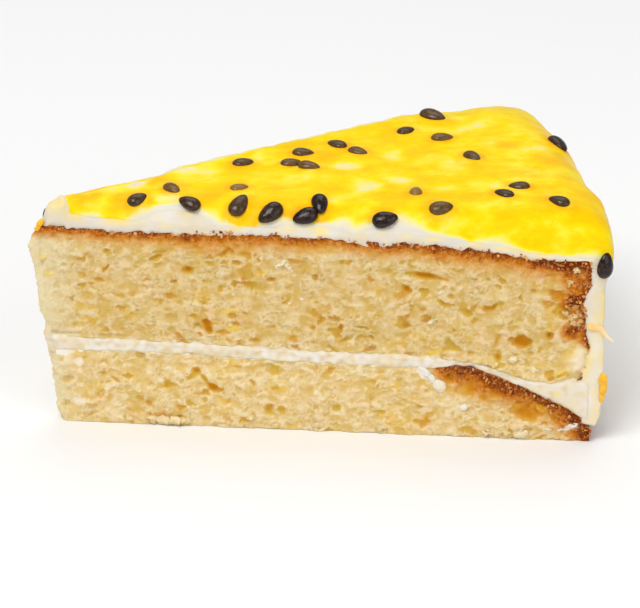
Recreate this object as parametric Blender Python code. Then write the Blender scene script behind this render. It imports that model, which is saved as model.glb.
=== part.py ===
"""One slice of a round two-layer passion fruit cake.

The slice lies with its flat base on z = 0. Its middle line runs along +X from the tip to the rim,
and the origin is on the base, TIP_TO_ORIGIN from the cake's centre. The shapes below are given in
millimetres: radius from the cake's centre, angle from the front cut face and height above the base.
"""
import math

import bmesh
import bpy
import numpy as np
from mathutils import Matrix, Vector, noise

MM = 0.001

# Driving sizes of the slice, in millimetres.
SLICE_ANGLE = math.radians(36.0)
TIP_TO_ORIGIN = 70.0
SPONGE_RADIUS = 112.6
BASE_RADIUS = 116.4
DOME_RADIUS = 84.0
ROLL_RADIUS = 104.0
CROWN_HEIGHT = 49.3
GAP = 0.3
SKIN_GAP = 0.4

# Upper and lower faces of the layers, as (radius, height) corners.
LOWER_TOP = [(0, 16.7), (30, 17.0), (45, 16.2), (60, 15.9), (83, 15.7), (88, 16.2), (91, 16.3), (94, 15.2),
             (98, 13.7), (103, 11.9), (108, 9.5), (112, 7.4), (116.8, 3.9)]
UPPER_BOTTOM = [(0, 19.8), (14, 19.6), (30, 19.3), (56, 18.5), (72, 18.5), (84, 17.9), (92, 17.3),
                (95, 16.4), (98, 15.4), (101, 14.5), (104, 13.7), (108, 13.3), (113, 14.1)]
UPPER_TOP = [(0, 44.8), (12, 44.7), (16, 44.4), (32, 44.4), (38, 45.2), (50, 45.4), (56, 44.7),
             (66, 44.6), (72, 43.9), (80, 44.1), (92, 43.3), (100, 42.3), (106, 41.6), (116, 40.9)]

# Upright outlines, as (height, radius): the broken tip, the upper sponge's side and the icing's side.
TIP_OUTLINE = [(0, 5.2), (5, 4.4), (10, 3.6), (16, 3.1), (20, 2.0), (23, 2.6), (27, 1.2), (35, 0.8),
               (40, -0.6), (43, 0.8), (45, 2.4), (48, 3.3), (50, 4.4)]
UPPER_SIDE = [(13, 112.9), (16, 114.8), (19, 115.8), (22, 116.0), (25, 115.0), (27.5, 115.1), (30, 114.4),
              (32.5, 114.9), (35, 115.7), (41, 116.2)]
ICING_SIDE = [(3, 116.7), (3.9, 117.1), (6.3, 118.1), (10, 118.5), (36, 118.3), (42, 119.0)]

# The tip's cut faces end TIP_BLUNT behind its outline, and the change fades out over TIP_FADE.
TIP_BLUNT = 1.5
TIP_LEAST = 1.8
TIP_FADE = 14.0

# Relief of the torn crumb on the cut faces: spans of its lumps along and up, and depths by layer.
COARSE_SPANS = (7.0, 5.0)
FINE_SPANS = (2.7, 2.3)
SMOOTH_TIP = 16.0
SPONGE_RELIEF = 1.3
CREAM_RELIEF = 0.5

# Slow waves of the baked faces, which are level again between two radii near the rim.
WAVE_DEPTH = 0.14
WAVE_SPAN = 17.0
WAVE_FADE = (70.0, 95.0)
LOWER_WAVES, MIDDLE_WAVES, UPPER_WAVES = 1.0, 5.0, 9.0

# Steps of the cells that every layer shares, so that touching faces stay parallel.
RADII = np.concatenate([np.linspace(3.0, DOME_RADIUS, 22), np.linspace(DOME_RADIUS, ROLL_RADIUS, 7)[1:],
                        np.linspace(ROLL_RADIUS, SPONGE_RADIUS, 4)[1:]])
ACROSS_STEPS = [0, 1, 2, 3, 8, 9, 10]
EDGE_STEPS = [0.0, 1.2, 3.0, 6.5]
BACK_STEPS = [5.0, 2.0, 0.0]
FULL_WIDTH = 25.0
ACROSS = ACROSS_STEPS[-1]


def along(corners, place):
    """Value at a place along a short list of (place, value) corners."""
    places, values = zip(*corners)
    return float(np.interp(place, places, values))


def blend(first, last, share):
    """Straight mix of two values."""
    return first + (last - first) * share


def ease(share):
    """Smooth rise from 0 to 1."""
    share = min(1.0, max(0.0, share))
    return share * share * (3.0 - 2.0 * share)


def across(step, radius, front=0.0, back=0.0):
    """Angle of one step between the cut faces; steps are narrow beside both cuts."""
    width = radius * SLICE_ANGLE - front - back
    scale = min(1.0, width / FULL_WIDTH)
    places = [edge * scale for edge in EDGE_STEPS] + [width - edge * scale for edge in BACK_STEPS]
    return (front + float(np.interp(step, ACROSS_STEPS, places))) / radius


def world(radius, angle, height):
    """Point of the slice in metres."""
    turn = angle - SLICE_ANGLE / 2
    return Vector((radius * math.cos(turn) - TIP_TO_ORIGIN, radius * math.sin(turn), height)) * MM


def ripple(radius, angle, layer):
    """Slow unevenness of a baked or spread face, level again towards the rim."""
    reach = 1.0 - ease((radius - WAVE_FADE[0]) / (WAVE_FADE[1] - WAVE_FADE[0]))
    place = Vector((radius / WAVE_SPAN, radius * angle / WAVE_SPAN, layer))
    return WAVE_DEPTH * reach * noise.noise(place)


def lower_top(radius, angle):
    return along(LOWER_TOP, radius) + ripple(radius, angle, LOWER_WAVES)


def upper_bottom(radius, angle):
    return along(UPPER_BOTTOM, radius) + ripple(radius, angle, MIDDLE_WAVES)


def upper_top(radius, angle):
    return along(UPPER_TOP, radius) + ripple(radius, angle, UPPER_WAVES)


def rim_reach(radius, height):
    """Radius of a shared step where the upper sponge bulges past SPONGE_RADIUS."""
    share = max(0.0, radius - ROLL_RADIUS) / (SPONGE_RADIUS - ROLL_RADIUS)
    return radius + share * (along(UPPER_SIDE, height) - SPONGE_RADIUS)


def tip_radius(radius, height):
    """Radius of a shared step near the tip, whose broken end stands further in or out with height."""
    blunt_end = max(TIP_LEAST, along(TIP_OUTLINE, height) + TIP_BLUNT)
    fade = max(0.0, 1.0 - (radius - RADII[0]) / TIP_FADE)
    return radius + (blunt_end - RADII[0]) * fade


def torn(point, radius, angle, height, step, amount):
    """Moves a point of a cut face out or in by the coarse relief of torn crumb."""
    if step not in (0, ACROSS):
        return point
    side = 1.0 if step else -1.0
    coarse = noise.noise(Vector((radius / COARSE_SPANS[0], height / COARSE_SPANS[1], 3.0 * side)))
    fine = noise.noise(Vector((radius / FINE_SPANS[0], height / FINE_SPANS[1], 7.0 * side)))
    turn = angle - SLICE_ANGLE / 2
    outward = Vector((-math.sin(turn), math.cos(turn), 0.0)) * side
    return point + outward * amount * blend(coarse, fine, 0.4) * ease(radius / SMOOTH_TIP) * MM


def tip_end(point, radius, height, step_along, step_across):
    """Rounds the narrow end face of the tip out to the tip's outline."""
    if step_along:
        return point
    share = across(step_across, radius) / SLICE_ANGLE
    bulge = radius - along(TIP_OUTLINE, height)
    return point - Vector((bulge * (1.0 - (2.0 * share - 1.0) ** 2), 0.0, 0.0)) * MM


def cell_box(cells, place):
    """A closed box cut into cells; every corner goes where place() puts its three step numbers."""
    shape = bmesh.new()
    bmesh.ops.create_cube(shape, size=1.0)
    for axis, count in enumerate(cells):
        lengths = [edge for edge in shape.edges
                   if abs((edge.verts[0].co - edge.verts[1].co)[axis]) > 0.5]
        if count > 1:
            bmesh.ops.subdivide_edges(shape, edges=lengths, cuts=count - 1, use_grid_fill=True)
    for face in list(shape.faces):
        corners = sorted(face.verts, key=lambda corner: sum(corner.co))
        bmesh.utils.face_split(face, corners[0], corners[-1])
    for corner in shape.verts:
        corner.co = place(*[round((corner.co[axis] + 0.5) * cells[axis]) for axis in range(3)])
    return shape


def material(name, colour, roughness):
    finish = bpy.data.materials.new(name)
    finish.use_nodes = True
    shader = finish.node_tree.nodes["Principled BSDF"]
    shader.inputs["Base Color"].default_value = (*colour, 1.0)
    shader.inputs["Roughness"].default_value = roughness
    shader.inputs["Metallic"].default_value = 0.0
    return finish


def add_part(name, shape, finish, collection):
    """Puts a finished shape into the scene as one named part."""
    mesh = bpy.data.meshes.new(name)
    shape.normal_update()
    shape.to_mesh(mesh)
    shape.free()
    mesh.materials.append(finish)
    part = bpy.data.objects.new(name, mesh)
    collection.objects.link(part)
    return part


# Lower sponge: flat under, with a browned dome that falls away to a thin rim. It stands on a plain wedge.
LOWER_ROWS = 4
LOWER_RADII = np.append(RADII, BASE_RADIUS)


def lower_sponge(collection):
    def place(i, j, k):
        share = k / LOWER_ROWS
        nominal = LOWER_RADII[i]
        if k == 0:
            base_radius = max(nominal, along(TIP_OUTLINE, 0.0))
            return world(base_radius, across(j, base_radius), 0.0)
        height = share * lower_top(nominal, across(j, nominal))
        radius = tip_radius(nominal, height)
        angle = across(j, radius)
        point = torn(world(radius, angle, height), radius, angle, height, j, SPONGE_RELIEF)
        return tip_end(point, radius, height, i, j)

    shape = cell_box((len(LOWER_RADII) - 1, ACROSS, LOWER_ROWS), place)
    add_part("lower_sponge", shape, material("lower sponge", (0.76, 0.55, 0.22), 0.9), collection)


# Cream filling: a thin layer over the lower sponge that thickens to a wedge under the rim.
def cream_filling(collection):
    def place(i, j, k):
        nominal = RADII[i]
        angle = across(j, nominal)
        height = blend(lower_top(nominal, angle) + GAP, upper_bottom(nominal, angle) - GAP, k)
        radius = tip_radius(nominal, height)
        angle = across(j, radius)
        point = torn(world(radius, angle, height), radius, angle, height, j, CREAM_RELIEF)
        return tip_end(point, radius, height, i, j)

    shape = cell_box((len(RADII) - 1, ACROSS, 1), place)
    add_part("cream_filling", shape, material("cream filling", (0.84, 0.74, 0.53), 0.45), collection)


# Upper sponge: a deep layer with a level browned top and a crusted, hollowed side.
UPPER_ROWS = 8


def upper_row_height(nominal, angle, row):
    return blend(upper_bottom(nominal, angle), upper_top(nominal, angle), row / UPPER_ROWS)


def upper_sponge(collection):
    def place(i, j, k):
        nominal = RADII[i]
        height = upper_row_height(nominal, across(j, nominal), k)
        radius = rim_reach(tip_radius(nominal, height), height)
        angle = across(j, radius)
        point = torn(world(radius, angle, height), radius, angle, height, j, SPONGE_RELIEF)
        return tip_end(point, radius, height, i, j)

    shape = cell_box((len(RADII) - 1, ACROSS, UPPER_ROWS), place)
    add_part("upper_sponge", shape, material("upper sponge", (0.72, 0.50, 0.18), 0.9), collection)


# Icing: a cap over the upper sponge, rolled over the rim and down to the lower sponge's crust.
ROLL_WIDTH = 11.0
ROLL_DEPTH = 7.3
ROLL_START = 108.0
ROLL_FOOT = CROWN_HEIGHT - ROLL_DEPTH
TIP_LUMP = [(3, -0.4), (4.5, 0.6), (7, 0.8), (12, 0.0)]
FRONT_DROP = [(3, 0.0), (6, 0.3), (10, 1.6), (14, 2.4), (20, 2.8), (48, 3.7), (62, 4.3), (76, 3.8),
              (86, 4.2), (92, 5.0), (98, 6.0), (104, 7.1), (110, 8.0), (119, 6.0)]
FRONT_ROUND = [(3, 1.0), (8, 2.4), (14, 3.6), (20, 4.5), (48, 6.0), (80, 6.5), (100, 8.5), (112, 10.0)]
BACK_DROP = [(3, -0.1), (30, -0.6), (90, -0.7), (98, 0.1), (104, 1.6), (110, 2.2), (119, 2.3)]
BACK_ROUND = [(3, 0.8), (20, 4.0), (40, 8.0), (90, 8.0), (108, 11.0)]
DROP_FOOT = 36.0
LEAST_ICING = 1.1
RIM_OUT = [(0, 0.0), (6, 0.3), (9, 0.7), (12, -0.8), (18, -1.0), (22, 0.0), (28, 0.6), (32, 2.4), (36, 3.6)]
RIM_FROM = 104.0
RIM_FOOT = 22.0
RIM_FADE = 14.0
ICING_LAYERS = 2
SIDE_TOP = 46.7
SIDE_FOOT = 3.9
FOOT_STEPS = 3
LAST_TOP = len(RADII) - 1


def shoulder(radius, angle, height):
    """Fall of the icing beside both cuts, where the knife rounded it; none low on the side."""
    front = max(0.0, 1.0 - radius * angle / along(FRONT_ROUND, radius))
    back = max(0.0, 1.0 - radius * (SLICE_ANGLE - angle) / along(BACK_ROUND, radius))
    depth = max(0.0, (height - DROP_FOOT) / (CROWN_HEIGHT - DROP_FOOT))
    fall = depth * (along(FRONT_DROP, radius) * front ** 2 + along(BACK_DROP, radius) * back ** 2)
    if radius < BASE_RADIUS:
        return min(fall, height - along(UPPER_TOP, radius) - LEAST_ICING)
    return fall


def rim_bulge(radius, angle, height):
    """How far the rolled rim stands out or in, most at the back where the cut pressed it out."""
    over = ease((radius - RIM_FROM) / (ROLL_START + ROLL_WIDTH - RIM_FROM))
    return along(RIM_OUT, math.degrees(angle)) * over * ease((height - RIM_FOOT) / RIM_FADE)


def icing_top(radius):
    """Height of the icing: level, with a lump at the tip, and rolled over at the rim."""
    if radius > ROLL_START:
        share = min(1.0, (radius - ROLL_START) / ROLL_WIDTH)
        return ROLL_FOOT + ROLL_DEPTH * math.sqrt(1.0 - share ** 2)
    return CROWN_HEIGHT + along(TIP_LUMP, radius)


def icing_side(height):
    """Radius of the icing at a height: upright below, rolled in above ROLL_FOOT."""
    if height > ROLL_FOOT:
        rise = min(1.0, (height - ROLL_FOOT) / ROLL_DEPTH)
        return ROLL_START + ROLL_WIDTH * math.sqrt(1.0 - rise ** 2)
    return along(ICING_SIDE, height)


def icing_inside(step, across_step):
    """Inner face of the icing, GAP clear of the sponge, the filling and the lower crust."""
    if step <= LAST_TOP:
        nominal = RADII[step]
        height = upper_top(nominal, across(across_step, nominal))
        share = max(0.0, nominal - ROLL_RADIUS) / (SPONGE_RADIUS - ROLL_RADIUS)
        return rim_reach(tip_radius(nominal, height), height) + GAP * share, height + GAP
    row = UPPER_ROWS - (step - LAST_TOP)
    if row >= 0:
        height = upper_row_height(SPONGE_RADIUS, across(across_step, SPONGE_RADIUS), row)
        return along(UPPER_SIDE, height) + GAP, height
    below = -row / FOOT_STEPS
    corner = along(UPPER_BOTTOM, SPONGE_RADIUS)
    return SPONGE_RADIUS + GAP, blend(corner, along(LOWER_TOP, SPONGE_RADIUS) + 2 * GAP, below)


def icing_outside(step):
    """Outer face of the icing at the same steps."""
    if step <= LAST_TOP:
        nominal = RADII[step]
        stretch = max(0.0, nominal - ROLL_RADIUS) / (SPONGE_RADIUS - ROLL_RADIUS)
        radius = blend(nominal, icing_side(SIDE_TOP) - SPONGE_RADIUS + nominal, stretch)
        return radius, icing_top(radius)
    share = (step - LAST_TOP) / (UPPER_ROWS + FOOT_STEPS)
    height = blend(SIDE_TOP, SIDE_FOOT, share)
    return icing_side(height), height


def icing(collection):
    def place(i, j, k):
        inner_radius, inner_height = icing_inside(i, j)
        outer_radius, outer_height = icing_outside(i)
        outer_radius = tip_radius(outer_radius, outer_height) if i <= LAST_TOP else outer_radius
        outer_radius += rim_bulge(outer_radius, across(j, outer_radius), outer_height)
        share = k / ICING_LAYERS
        radius = blend(inner_radius, outer_radius, share)
        angle = across(j, radius)
        fall = shoulder(outer_radius, angle, outer_height)
        height = blend(inner_height, outer_height - fall, share)
        relief = CREAM_RELIEF * math.sin(math.pi * share)
        point = torn(world(radius, angle, height), radius, angle, height, j, relief)
        return tip_end(point, radius, height, i, j)

    shape = cell_box((LAST_TOP + UPPER_ROWS + FOOT_STEPS, ACROSS, ICING_LAYERS), place)
    add_part("icing", shape, material("icing", (0.83, 0.72, 0.49), 0.4), collection)


# Passion fruit topping: a thin skin of curd on the icing, with the seeds that stand in it.
SKIN = 0.8
SKIN_EDGE = 0.3
TOPPING_CELLS = 42
TOPPING_ACROSS = 16
ROLL_LENGTH = 14.6
FRONT_EDGE = [(3, 0.7), (8, 1.3), (16, 0.8), (26, 1.4), (34, 0.5), (60, 0.5), (69, 1.3), (74, 0.5),
              (84, 1.2), (112, 1.0), (122, 0.7)]
BACK_EDGE = 0.6
FULL_EDGE = 12.0
THINNED_STEPS = 2
START_FRONT = 7.6
START_BACK = 5.6
END_REACH = 119.3
END_WAVE = 1.2
DRIP_LENGTH = 6.5
DRIP_WIDTH = 7.0

# Each seed: radius, angle in degrees, way its point faces in degrees, and length.
SEEDS = [
    (22.2, 7.3, 18, 5.2), (29.7, 15.5, -59, 5.0), (33.0, 4.5, 132, 5.2), (47.6, 28.6, 13, 5.0),
    (43.5, 12.6, 9, 4.8), (43.2, 3.7, 49, 5.6), (49.7, 1.9, -155, 5.6), (56.9, 1.5, -176, 5.6),
    (59.8, 3.8, -96, 5.6), (61.4, 28.7, -21, 5.2), (57.0, 24.6, 0, 4.8), (60.1, 22.0, -33, 5.2),
    (69.8, 29.8, 125, 5.0), (72.4, 25.5, -39, 4.8), (73.3, 1.1, -5, 5.4), (95.7, 33.4, -51, 6.0),
    (86.5, 30.3, -8, 4.8), (92.0, 26.1, -2, 5.0), (94.7, 18.9, -56, 5.0), (79.7, 7.7, -39, 4.6),
    (84.7, 2.9, 0, 5.2), (97.8, 6.6, 125, 5.0), (101.3, 8.8, 163, 4.8), (108.7, 4.6, 138, 5.0),
    (114.7, 22.3, -72, 5.6), (120.0, 0.9, -17, 5.2),
]
SEED_WIDTH = 3.5
SEED_DEPTH = 2.1
SEED_POINT = 0.35
SEED_LIFT = 0.35
SLOPE_STEP = 0.5


def on_icing(reach, angle):
    """Radius and height on the icing's outer face; reach goes on over the rim and down the side."""
    if reach <= ROLL_START:
        radius = reach
        height = icing_top(radius)
    elif reach <= ROLL_START + ROLL_LENGTH:
        turn = (reach - ROLL_START) / ROLL_LENGTH * math.pi / 2
        radius = ROLL_START + ROLL_WIDTH * math.sin(turn)
        height = ROLL_FOOT + ROLL_DEPTH * math.cos(turn)
    else:
        height = ROLL_FOOT - (reach - ROLL_START - ROLL_LENGTH)
        radius = icing_side(height)
    bulge = rim_bulge(radius, angle, height)
    return radius + bulge, height - shoulder(radius, angle, height)


def on_topping(reach, angle, lift):
    """Point lifted off the icing along the slope of its profile, in metres."""
    radius, height = on_icing(reach, angle)
    ahead = on_icing(reach + SLOPE_STEP, angle)
    behind = on_icing(reach - SLOPE_STEP, angle)
    run = Vector((ahead[0] - behind[0], ahead[1] - behind[1])).normalized()
    return world(radius - run.y * lift, angle, height + run.x * lift)


def topping_end(angle):
    """How far the topping reaches over the rim: a drip at the front corner, low waves elsewhere."""
    turn = math.degrees(angle)
    wave = END_WAVE * math.sin(math.radians(turn * 18.0 + 40.0))
    return END_REACH + wave + DRIP_LENGTH * (1.0 - ease(turn / DRIP_WIDTH))


def topping_start(share):
    """Where the topping begins beside the tip: nearest to it along the back cut."""
    return blend(START_FRONT, START_BACK, ease(share))


def topping_skin():
    def place(i, j, k):
        step = j * ACROSS / TOPPING_ACROSS
        reach = blend(topping_start(j / TOPPING_ACROSS), topping_end(across(step, ROLL_START)),
                      i / TOPPING_CELLS)
        radius = on_icing(reach, SLICE_ANGLE / 2)[0]
        near_tip = min(1.0, radius / FULL_EDGE)
        angle = across(step, radius, along(FRONT_EDGE, reach) * near_tip, BACK_EDGE * near_tip)
        inward = min(i, TOPPING_CELLS - i, step, ACROSS - step) / THINNED_STEPS
        lift = SKIN_GAP + k * blend(SKIN_EDGE, SKIN, ease(inward))
        return on_topping(reach, angle, lift)

    return cell_box((TOPPING_CELLS, TOPPING_ACROSS, 1), place)


def seed_shape(radius, degrees, facing, length):
    """A flat drop-shaped seed, half sunk in the topping."""
    angle = math.radians(degrees)
    lift = SKIN_GAP + SKIN + SEED_LIFT
    seat = on_topping(radius, angle, lift)
    turn = SLOPE_STEP / radius
    outward = on_topping(radius + SLOPE_STEP, angle, lift) - on_topping(radius - SLOPE_STEP, angle, lift)
    sideways = on_topping(radius, angle + turn, lift) - on_topping(radius, angle - turn, lift)
    normal = outward.cross(sideways).normalized()
    aim = math.radians(facing) - (angle - SLICE_ANGLE / 2)
    length_way = outward.normalized() * math.cos(aim) + sideways.normalized() * math.sin(aim)
    length_way = (length_way - normal * length_way.dot(normal)).normalized()
    frame = Matrix((length_way, normal.cross(length_way), normal)).transposed().to_4x4()
    frame.translation = seat
    shape = bmesh.new()
    bmesh.ops.create_uvsphere(shape, u_segments=6, v_segments=4, radius=1.0)
    for corner in shape.verts:
        x, y, z = corner.co.z, corner.co.y, -corner.co.x
        narrow = 1.0 - SEED_POINT * x
        corner.co = Vector((x * length / 2, y * SEED_WIDTH / 2 * narrow, z * SEED_DEPTH / 2 * narrow)) * MM
    bmesh.ops.transform(shape, matrix=frame, verts=shape.verts)
    return shape


def topping(collection, seed_collection):
    finish = material("passion fruit topping", (0.97, 0.72, 0.02), 0.2)
    part = add_part("passion_topping", topping_skin(), finish, collection)
    for number, seed in enumerate(SEEDS):
        piece = add_part("seed_%02d" % number, seed_shape(*seed), finish, seed_collection)
        piece.hide_render = True
        piece.display_type = "WIRE"
    union = part.modifiers.new("seeds", "BOOLEAN")
    union.operation = "UNION"
    union.operand_type = "COLLECTION"
    union.collection = seed_collection
    union.solver = "EXACT"
    scene_state = bpy.context.evaluated_depsgraph_get()
    part_mesh = bpy.data.meshes.new_from_object(part.evaluated_get(scene_state))
    part.modifiers.remove(union)
    part.data = part_mesh
    for piece in list(seed_collection.objects):
        bpy.data.objects.remove(piece)


def new_collection(name):
    collection = bpy.data.collections.new(name)
    bpy.context.scene.collection.children.link(collection)
    return collection


for thing in list(bpy.data.objects):
    bpy.data.objects.remove(thing)
cake = new_collection("passion_fruit_cake_slice")
seed_stock = new_collection("seed_stock")
lower_sponge(cake)
cream_filling(cake)
upper_sponge(cake)
icing(cake)
topping(cake, seed_stock)
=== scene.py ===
import math

import bpy
import numpy as np
from mathutils import Matrix, Vector, noise

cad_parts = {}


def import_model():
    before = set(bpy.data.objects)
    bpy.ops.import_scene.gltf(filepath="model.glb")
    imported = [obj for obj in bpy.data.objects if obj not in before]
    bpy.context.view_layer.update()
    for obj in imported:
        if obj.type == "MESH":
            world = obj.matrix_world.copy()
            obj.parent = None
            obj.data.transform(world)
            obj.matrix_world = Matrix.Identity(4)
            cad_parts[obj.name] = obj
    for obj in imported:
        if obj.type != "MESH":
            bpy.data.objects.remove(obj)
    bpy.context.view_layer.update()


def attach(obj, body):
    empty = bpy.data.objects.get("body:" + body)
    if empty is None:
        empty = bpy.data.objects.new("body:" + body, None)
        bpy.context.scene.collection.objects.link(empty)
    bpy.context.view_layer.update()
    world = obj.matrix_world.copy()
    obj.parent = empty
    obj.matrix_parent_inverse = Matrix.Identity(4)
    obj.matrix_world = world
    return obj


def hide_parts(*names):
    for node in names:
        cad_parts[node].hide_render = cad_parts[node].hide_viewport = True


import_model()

# Lower sponge: the under half of the slice, a tender yellow cake baked with a browned dome that falls
# away to a thin rim. Both cut faces are torn open into pores and flakes of crumb by the knife.
# All sizes are in millimetres, as radius from the cake's centre, angle from the front cut and height.
SLICE_ANGLE = math.radians(36.0)
TIP_TO_ORIGIN = 70.0
SPONGE_RADIUS = 112.6
BASE_RADIUS = 116.4
ROLL_RADIUS = 104.0
TIP_RADIUS = 3.0
LOWER_TOP = [(0, 16.7), (30, 17.0), (45, 16.2), (60, 15.9), (83, 15.7), (88, 16.2), (91, 16.3), (94, 15.2),
             (98, 13.7), (103, 11.9), (108, 9.5), (112, 7.4), (116.8, 3.9)]
UPPER_SIDE = [(13, 112.9), (16, 114.8), (19, 115.8), (22, 116.0), (25, 115.0), (27.5, 115.1), (30, 114.4),
              (32.5, 114.9), (35, 115.7), (41, 116.2)]
TIP_OUTLINE = [(0, 5.2), (5, 4.4), (10, 3.6), (16, 3.1), (20, 2.0), (23, 2.6), (27, 1.2), (35, 0.8),
               (40, -0.6), (43, 0.8), (45, 2.4), (48, 3.3), (50, 4.4)]
TIP_BLUNT = 1.5
TIP_LEAST = 1.8
TIP_FADE = 14.0
CRUMB_STEP = 0.28
SLICE_STEPS = 16
CREAM_MARKS_END = 88.0
# The knife tore the faces least beside the cream, but fully past the edge of the lower dome's flat top.
CALM_TEAR = 0.35
CALM_WIDTH = 2.2
DOME_EDGE = 84.0
SMEAR_WIDTH = 0.9
# The flat top of the dome was trimmed off, and its crust is left only further out than this radius. Its
# depth there is given by radius.
TRIMMED_TO = 80.0
TRIMMED_DEPTH = 6.0
SLOPE_CRUST = [(80, 1.2), (87, 1.9), (92, 2.4), (98, 2.2), (104, 1.9), (110, 1.8), (117, 1.6)]
FOOT_LIFT = 0.7
# Pores of the crumb in three sizes: span, share of them that are open, and depth.
PORE_SIZES = [(4.4, 0.12, 1.2), (2.5, 0.36, 0.85), (1.5, 0.5, 0.42)]
PORE_DRIFT = 4.6
LUMP_SPAN = 7.0
LUMP_RISE = 1.6
FLAKE_SPAN = 2.2
FLAKE_RISE = 0.7
SHRED_SPAN = 3.0
SHRED_RISE = 0.2
GRIT_SPAN = 0.8
# Marks on the front cut face: radius, height, half length, half height, tilt in degrees, strength.
LOWER_MARKS = {
    "pit": [(34.0, 12.8, 1.2, 0.9, -35, 1.4), (37.6, 9.2, 1.8, 1.0, -40, 1.8),
            (35.8, 11.0, 1.5, 0.5, -52, 1.2), (103.0, 6.3, 3.4, 1.8, -12, 1.6),
            (91.4, 11.9, 1.4, 2.2, 0, 1.6), (96.6, 10.6, 1.6, 1.3, -20, 1.2),
            (87.0, 13.2, 1.2, 1.3, -20, 1.5), (94.0, 9.2, 1.0, 0.8, 10, 1.0),
            (101.5, 8.4, 0.8, 0.6, 0, 1.6), (109.2, 5.2, 1.4, 0.7, -30, 1.0), (24.0, 5.0, 0.9, 0.8, 0, 0.9),
            (63.5, 5.6, 1.0, 1.0, 60, 1.0), (17.0, 10.2, 1.5, 0.5, -35, 0.8),
            (52.0, 4.6, 1.2, 1.0, -50, 0.9), (71.0, 12.2, 1.0, 0.4, 25, 0.7),
            (113.6, 1.4, 0.9, 0.8, 0, 1.0)],
    "cream": [(5.6, 16.6, 3.2, 1.5, 0, 1.0), (9.4, 13.9, 1.4, 1.4, -40, 0.8), (9.0, 4.8, 1.3, 2.0, 80, 0.7),
              (81.8, 14.4, 1.9, 1.2, -35, 1.0), (85.0, 11.8, 1.5, 1.4, 0, 1.2),
              (90.2, 6.7, 0.8, 0.9, 0, 0.8), (112.6, 3.2, 2.2, 0.8, 18, 0.9),
              (108.3, 0.8, 1.5, 0.9, 0, 0.4), (104.0, 1.5, 1.2, 0.6, 0, 0.4)],
    "curd": [(106.0, 7.4, 2.4, 0.8, -30, 0.6), (13.5, 8.6, 1.6, 1.0, -30, 0.4)],
    "scorch": [(92.0, 15.6, 3.4, 1.2, -14, 1.2), (106.5, 9.6, 4.4, 1.0, -28, 1.0),
               (113.4, 4.4, 2.6, 2.2, -30, 1.6), (98.0, 11.4, 3.4, 1.6, -25, 0.7),
               (115.2, 1.6, 1.6, 1.4, 0, 1.4), (89.4, 13.2, 1.6, 1.6, 0, 0.7),
               (111.5, 2.8, 5.0, 2.8, 0, 1.0), (104.0, 8.0, 4.0, 1.4, -30, 0.6)],
}


def along(corners, place):
    """Values at places along a short list of (place, value) corners."""
    places, values = zip(*corners)
    return np.interp(place, places, values)


def blend(first, last, share):
    """Value a share of the way from first to last."""
    return first + (last - first) * share


def ease(share):
    """Smooth rise from 0 to 1."""
    share = np.clip(share, 0.0, 1.0)
    return share * share * (3.0 - 2.0 * share)


def world(radius, angle, height):
    """Points in metres, standing on the base with the slice's middle line along +X."""
    turn = angle - SLICE_ANGLE / 2
    spots = np.broadcast_arrays(radius * np.cos(turn) - TIP_TO_ORIGIN, radius * np.sin(turn), height)
    return np.stack(spots, axis=-1) / 1000


def clouds(first, second, third, span):
    """Soft noise between about -1 and 1, whose lumps are one span apart."""
    spots = np.stack(np.broadcast_arrays(first, second, third), axis=-1) / span
    return np.array([noise.noise(spot) for spot in spots.tolist()])


def back_shift(share, shift):
    """A shift of the noise on the back half, so that the two cuts aren't alike."""
    return np.where(share < 0.5, 0.0, shift)


def cut_out(angle_share):
    """Unit direction out of the nearer cut face: out of the front one below half way across."""
    side = np.where(angle_share < 0.5, -1.0, 1.0)
    turn = side * SLICE_ANGLE / 2
    return np.stack([-np.sin(turn) * side, np.cos(turn) * side, np.zeros_like(turn)], axis=-1)


def tip_radius(radius, height):
    """Radius of a step near the tip, whose broken end stands further in or out with height."""
    blunt_end = np.maximum(TIP_LEAST, along(TIP_OUTLINE, height) + TIP_BLUNT)
    return radius + (blunt_end - TIP_RADIUS) * np.maximum(0.0, 1.0 - (radius - TIP_RADIUS) / TIP_FADE)


def rim_reach(radius, height):
    """Radius of a step near the rim, where the upper sponge bulges."""
    share = np.maximum(0.0, radius - ROLL_RADIUS) / (SPONGE_RADIUS - ROLL_RADIUS)
    return radius + share * (along(UPPER_SIDE, height) - SPONGE_RADIUS)


def tip_bulge(points, radius, height, step, share):
    """Rounds the narrow end of the tip out to the tip's outline."""
    bulge = (radius - along(TIP_OUTLINE, height)) * (1.0 - (2.0 * share - 1.0) ** 2) * (step == 0)
    points[:, 0] -= bulge / 1000
    return points


def skin_of_cells(counts, place):
    """Closed skin of a block of cells. place() turns the step numbers of its corners into points."""
    quads = []
    for axis in range(3):
        one, two = [other for other in range(3) if other != axis]
        rows, columns = np.meshgrid(np.arange(counts[one]), np.arange(counts[two]), indexing="ij")
        for end in (0, counts[axis]):
            ring = []
            for up, over in ((0, 0), (1, 0), (1, 1), (0, 1)):
                corner = np.zeros(rows.shape + (3,), int)
                corner[..., axis] = end
                corner[..., one] = rows + up
                corner[..., two] = columns + over
                ring.append(corner.reshape(-1, 3))
            quad = np.stack(ring, axis=1)
            faces_out = (end == 0) == (axis == 1)
            quads.append(quad if faces_out else quad[:, ::-1])
    quads = np.concatenate(quads)
    strides = np.array([(counts[1] + 1) * (counts[2] + 1), counts[2] + 1, 1])
    kept, index = np.unique(quads @ strides, return_inverse=True)
    i, rest = np.divmod(kept, strides[0])
    j, k = np.divmod(rest, strides[1])
    return place(i, j, k), index.reshape(-1, 4)


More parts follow.
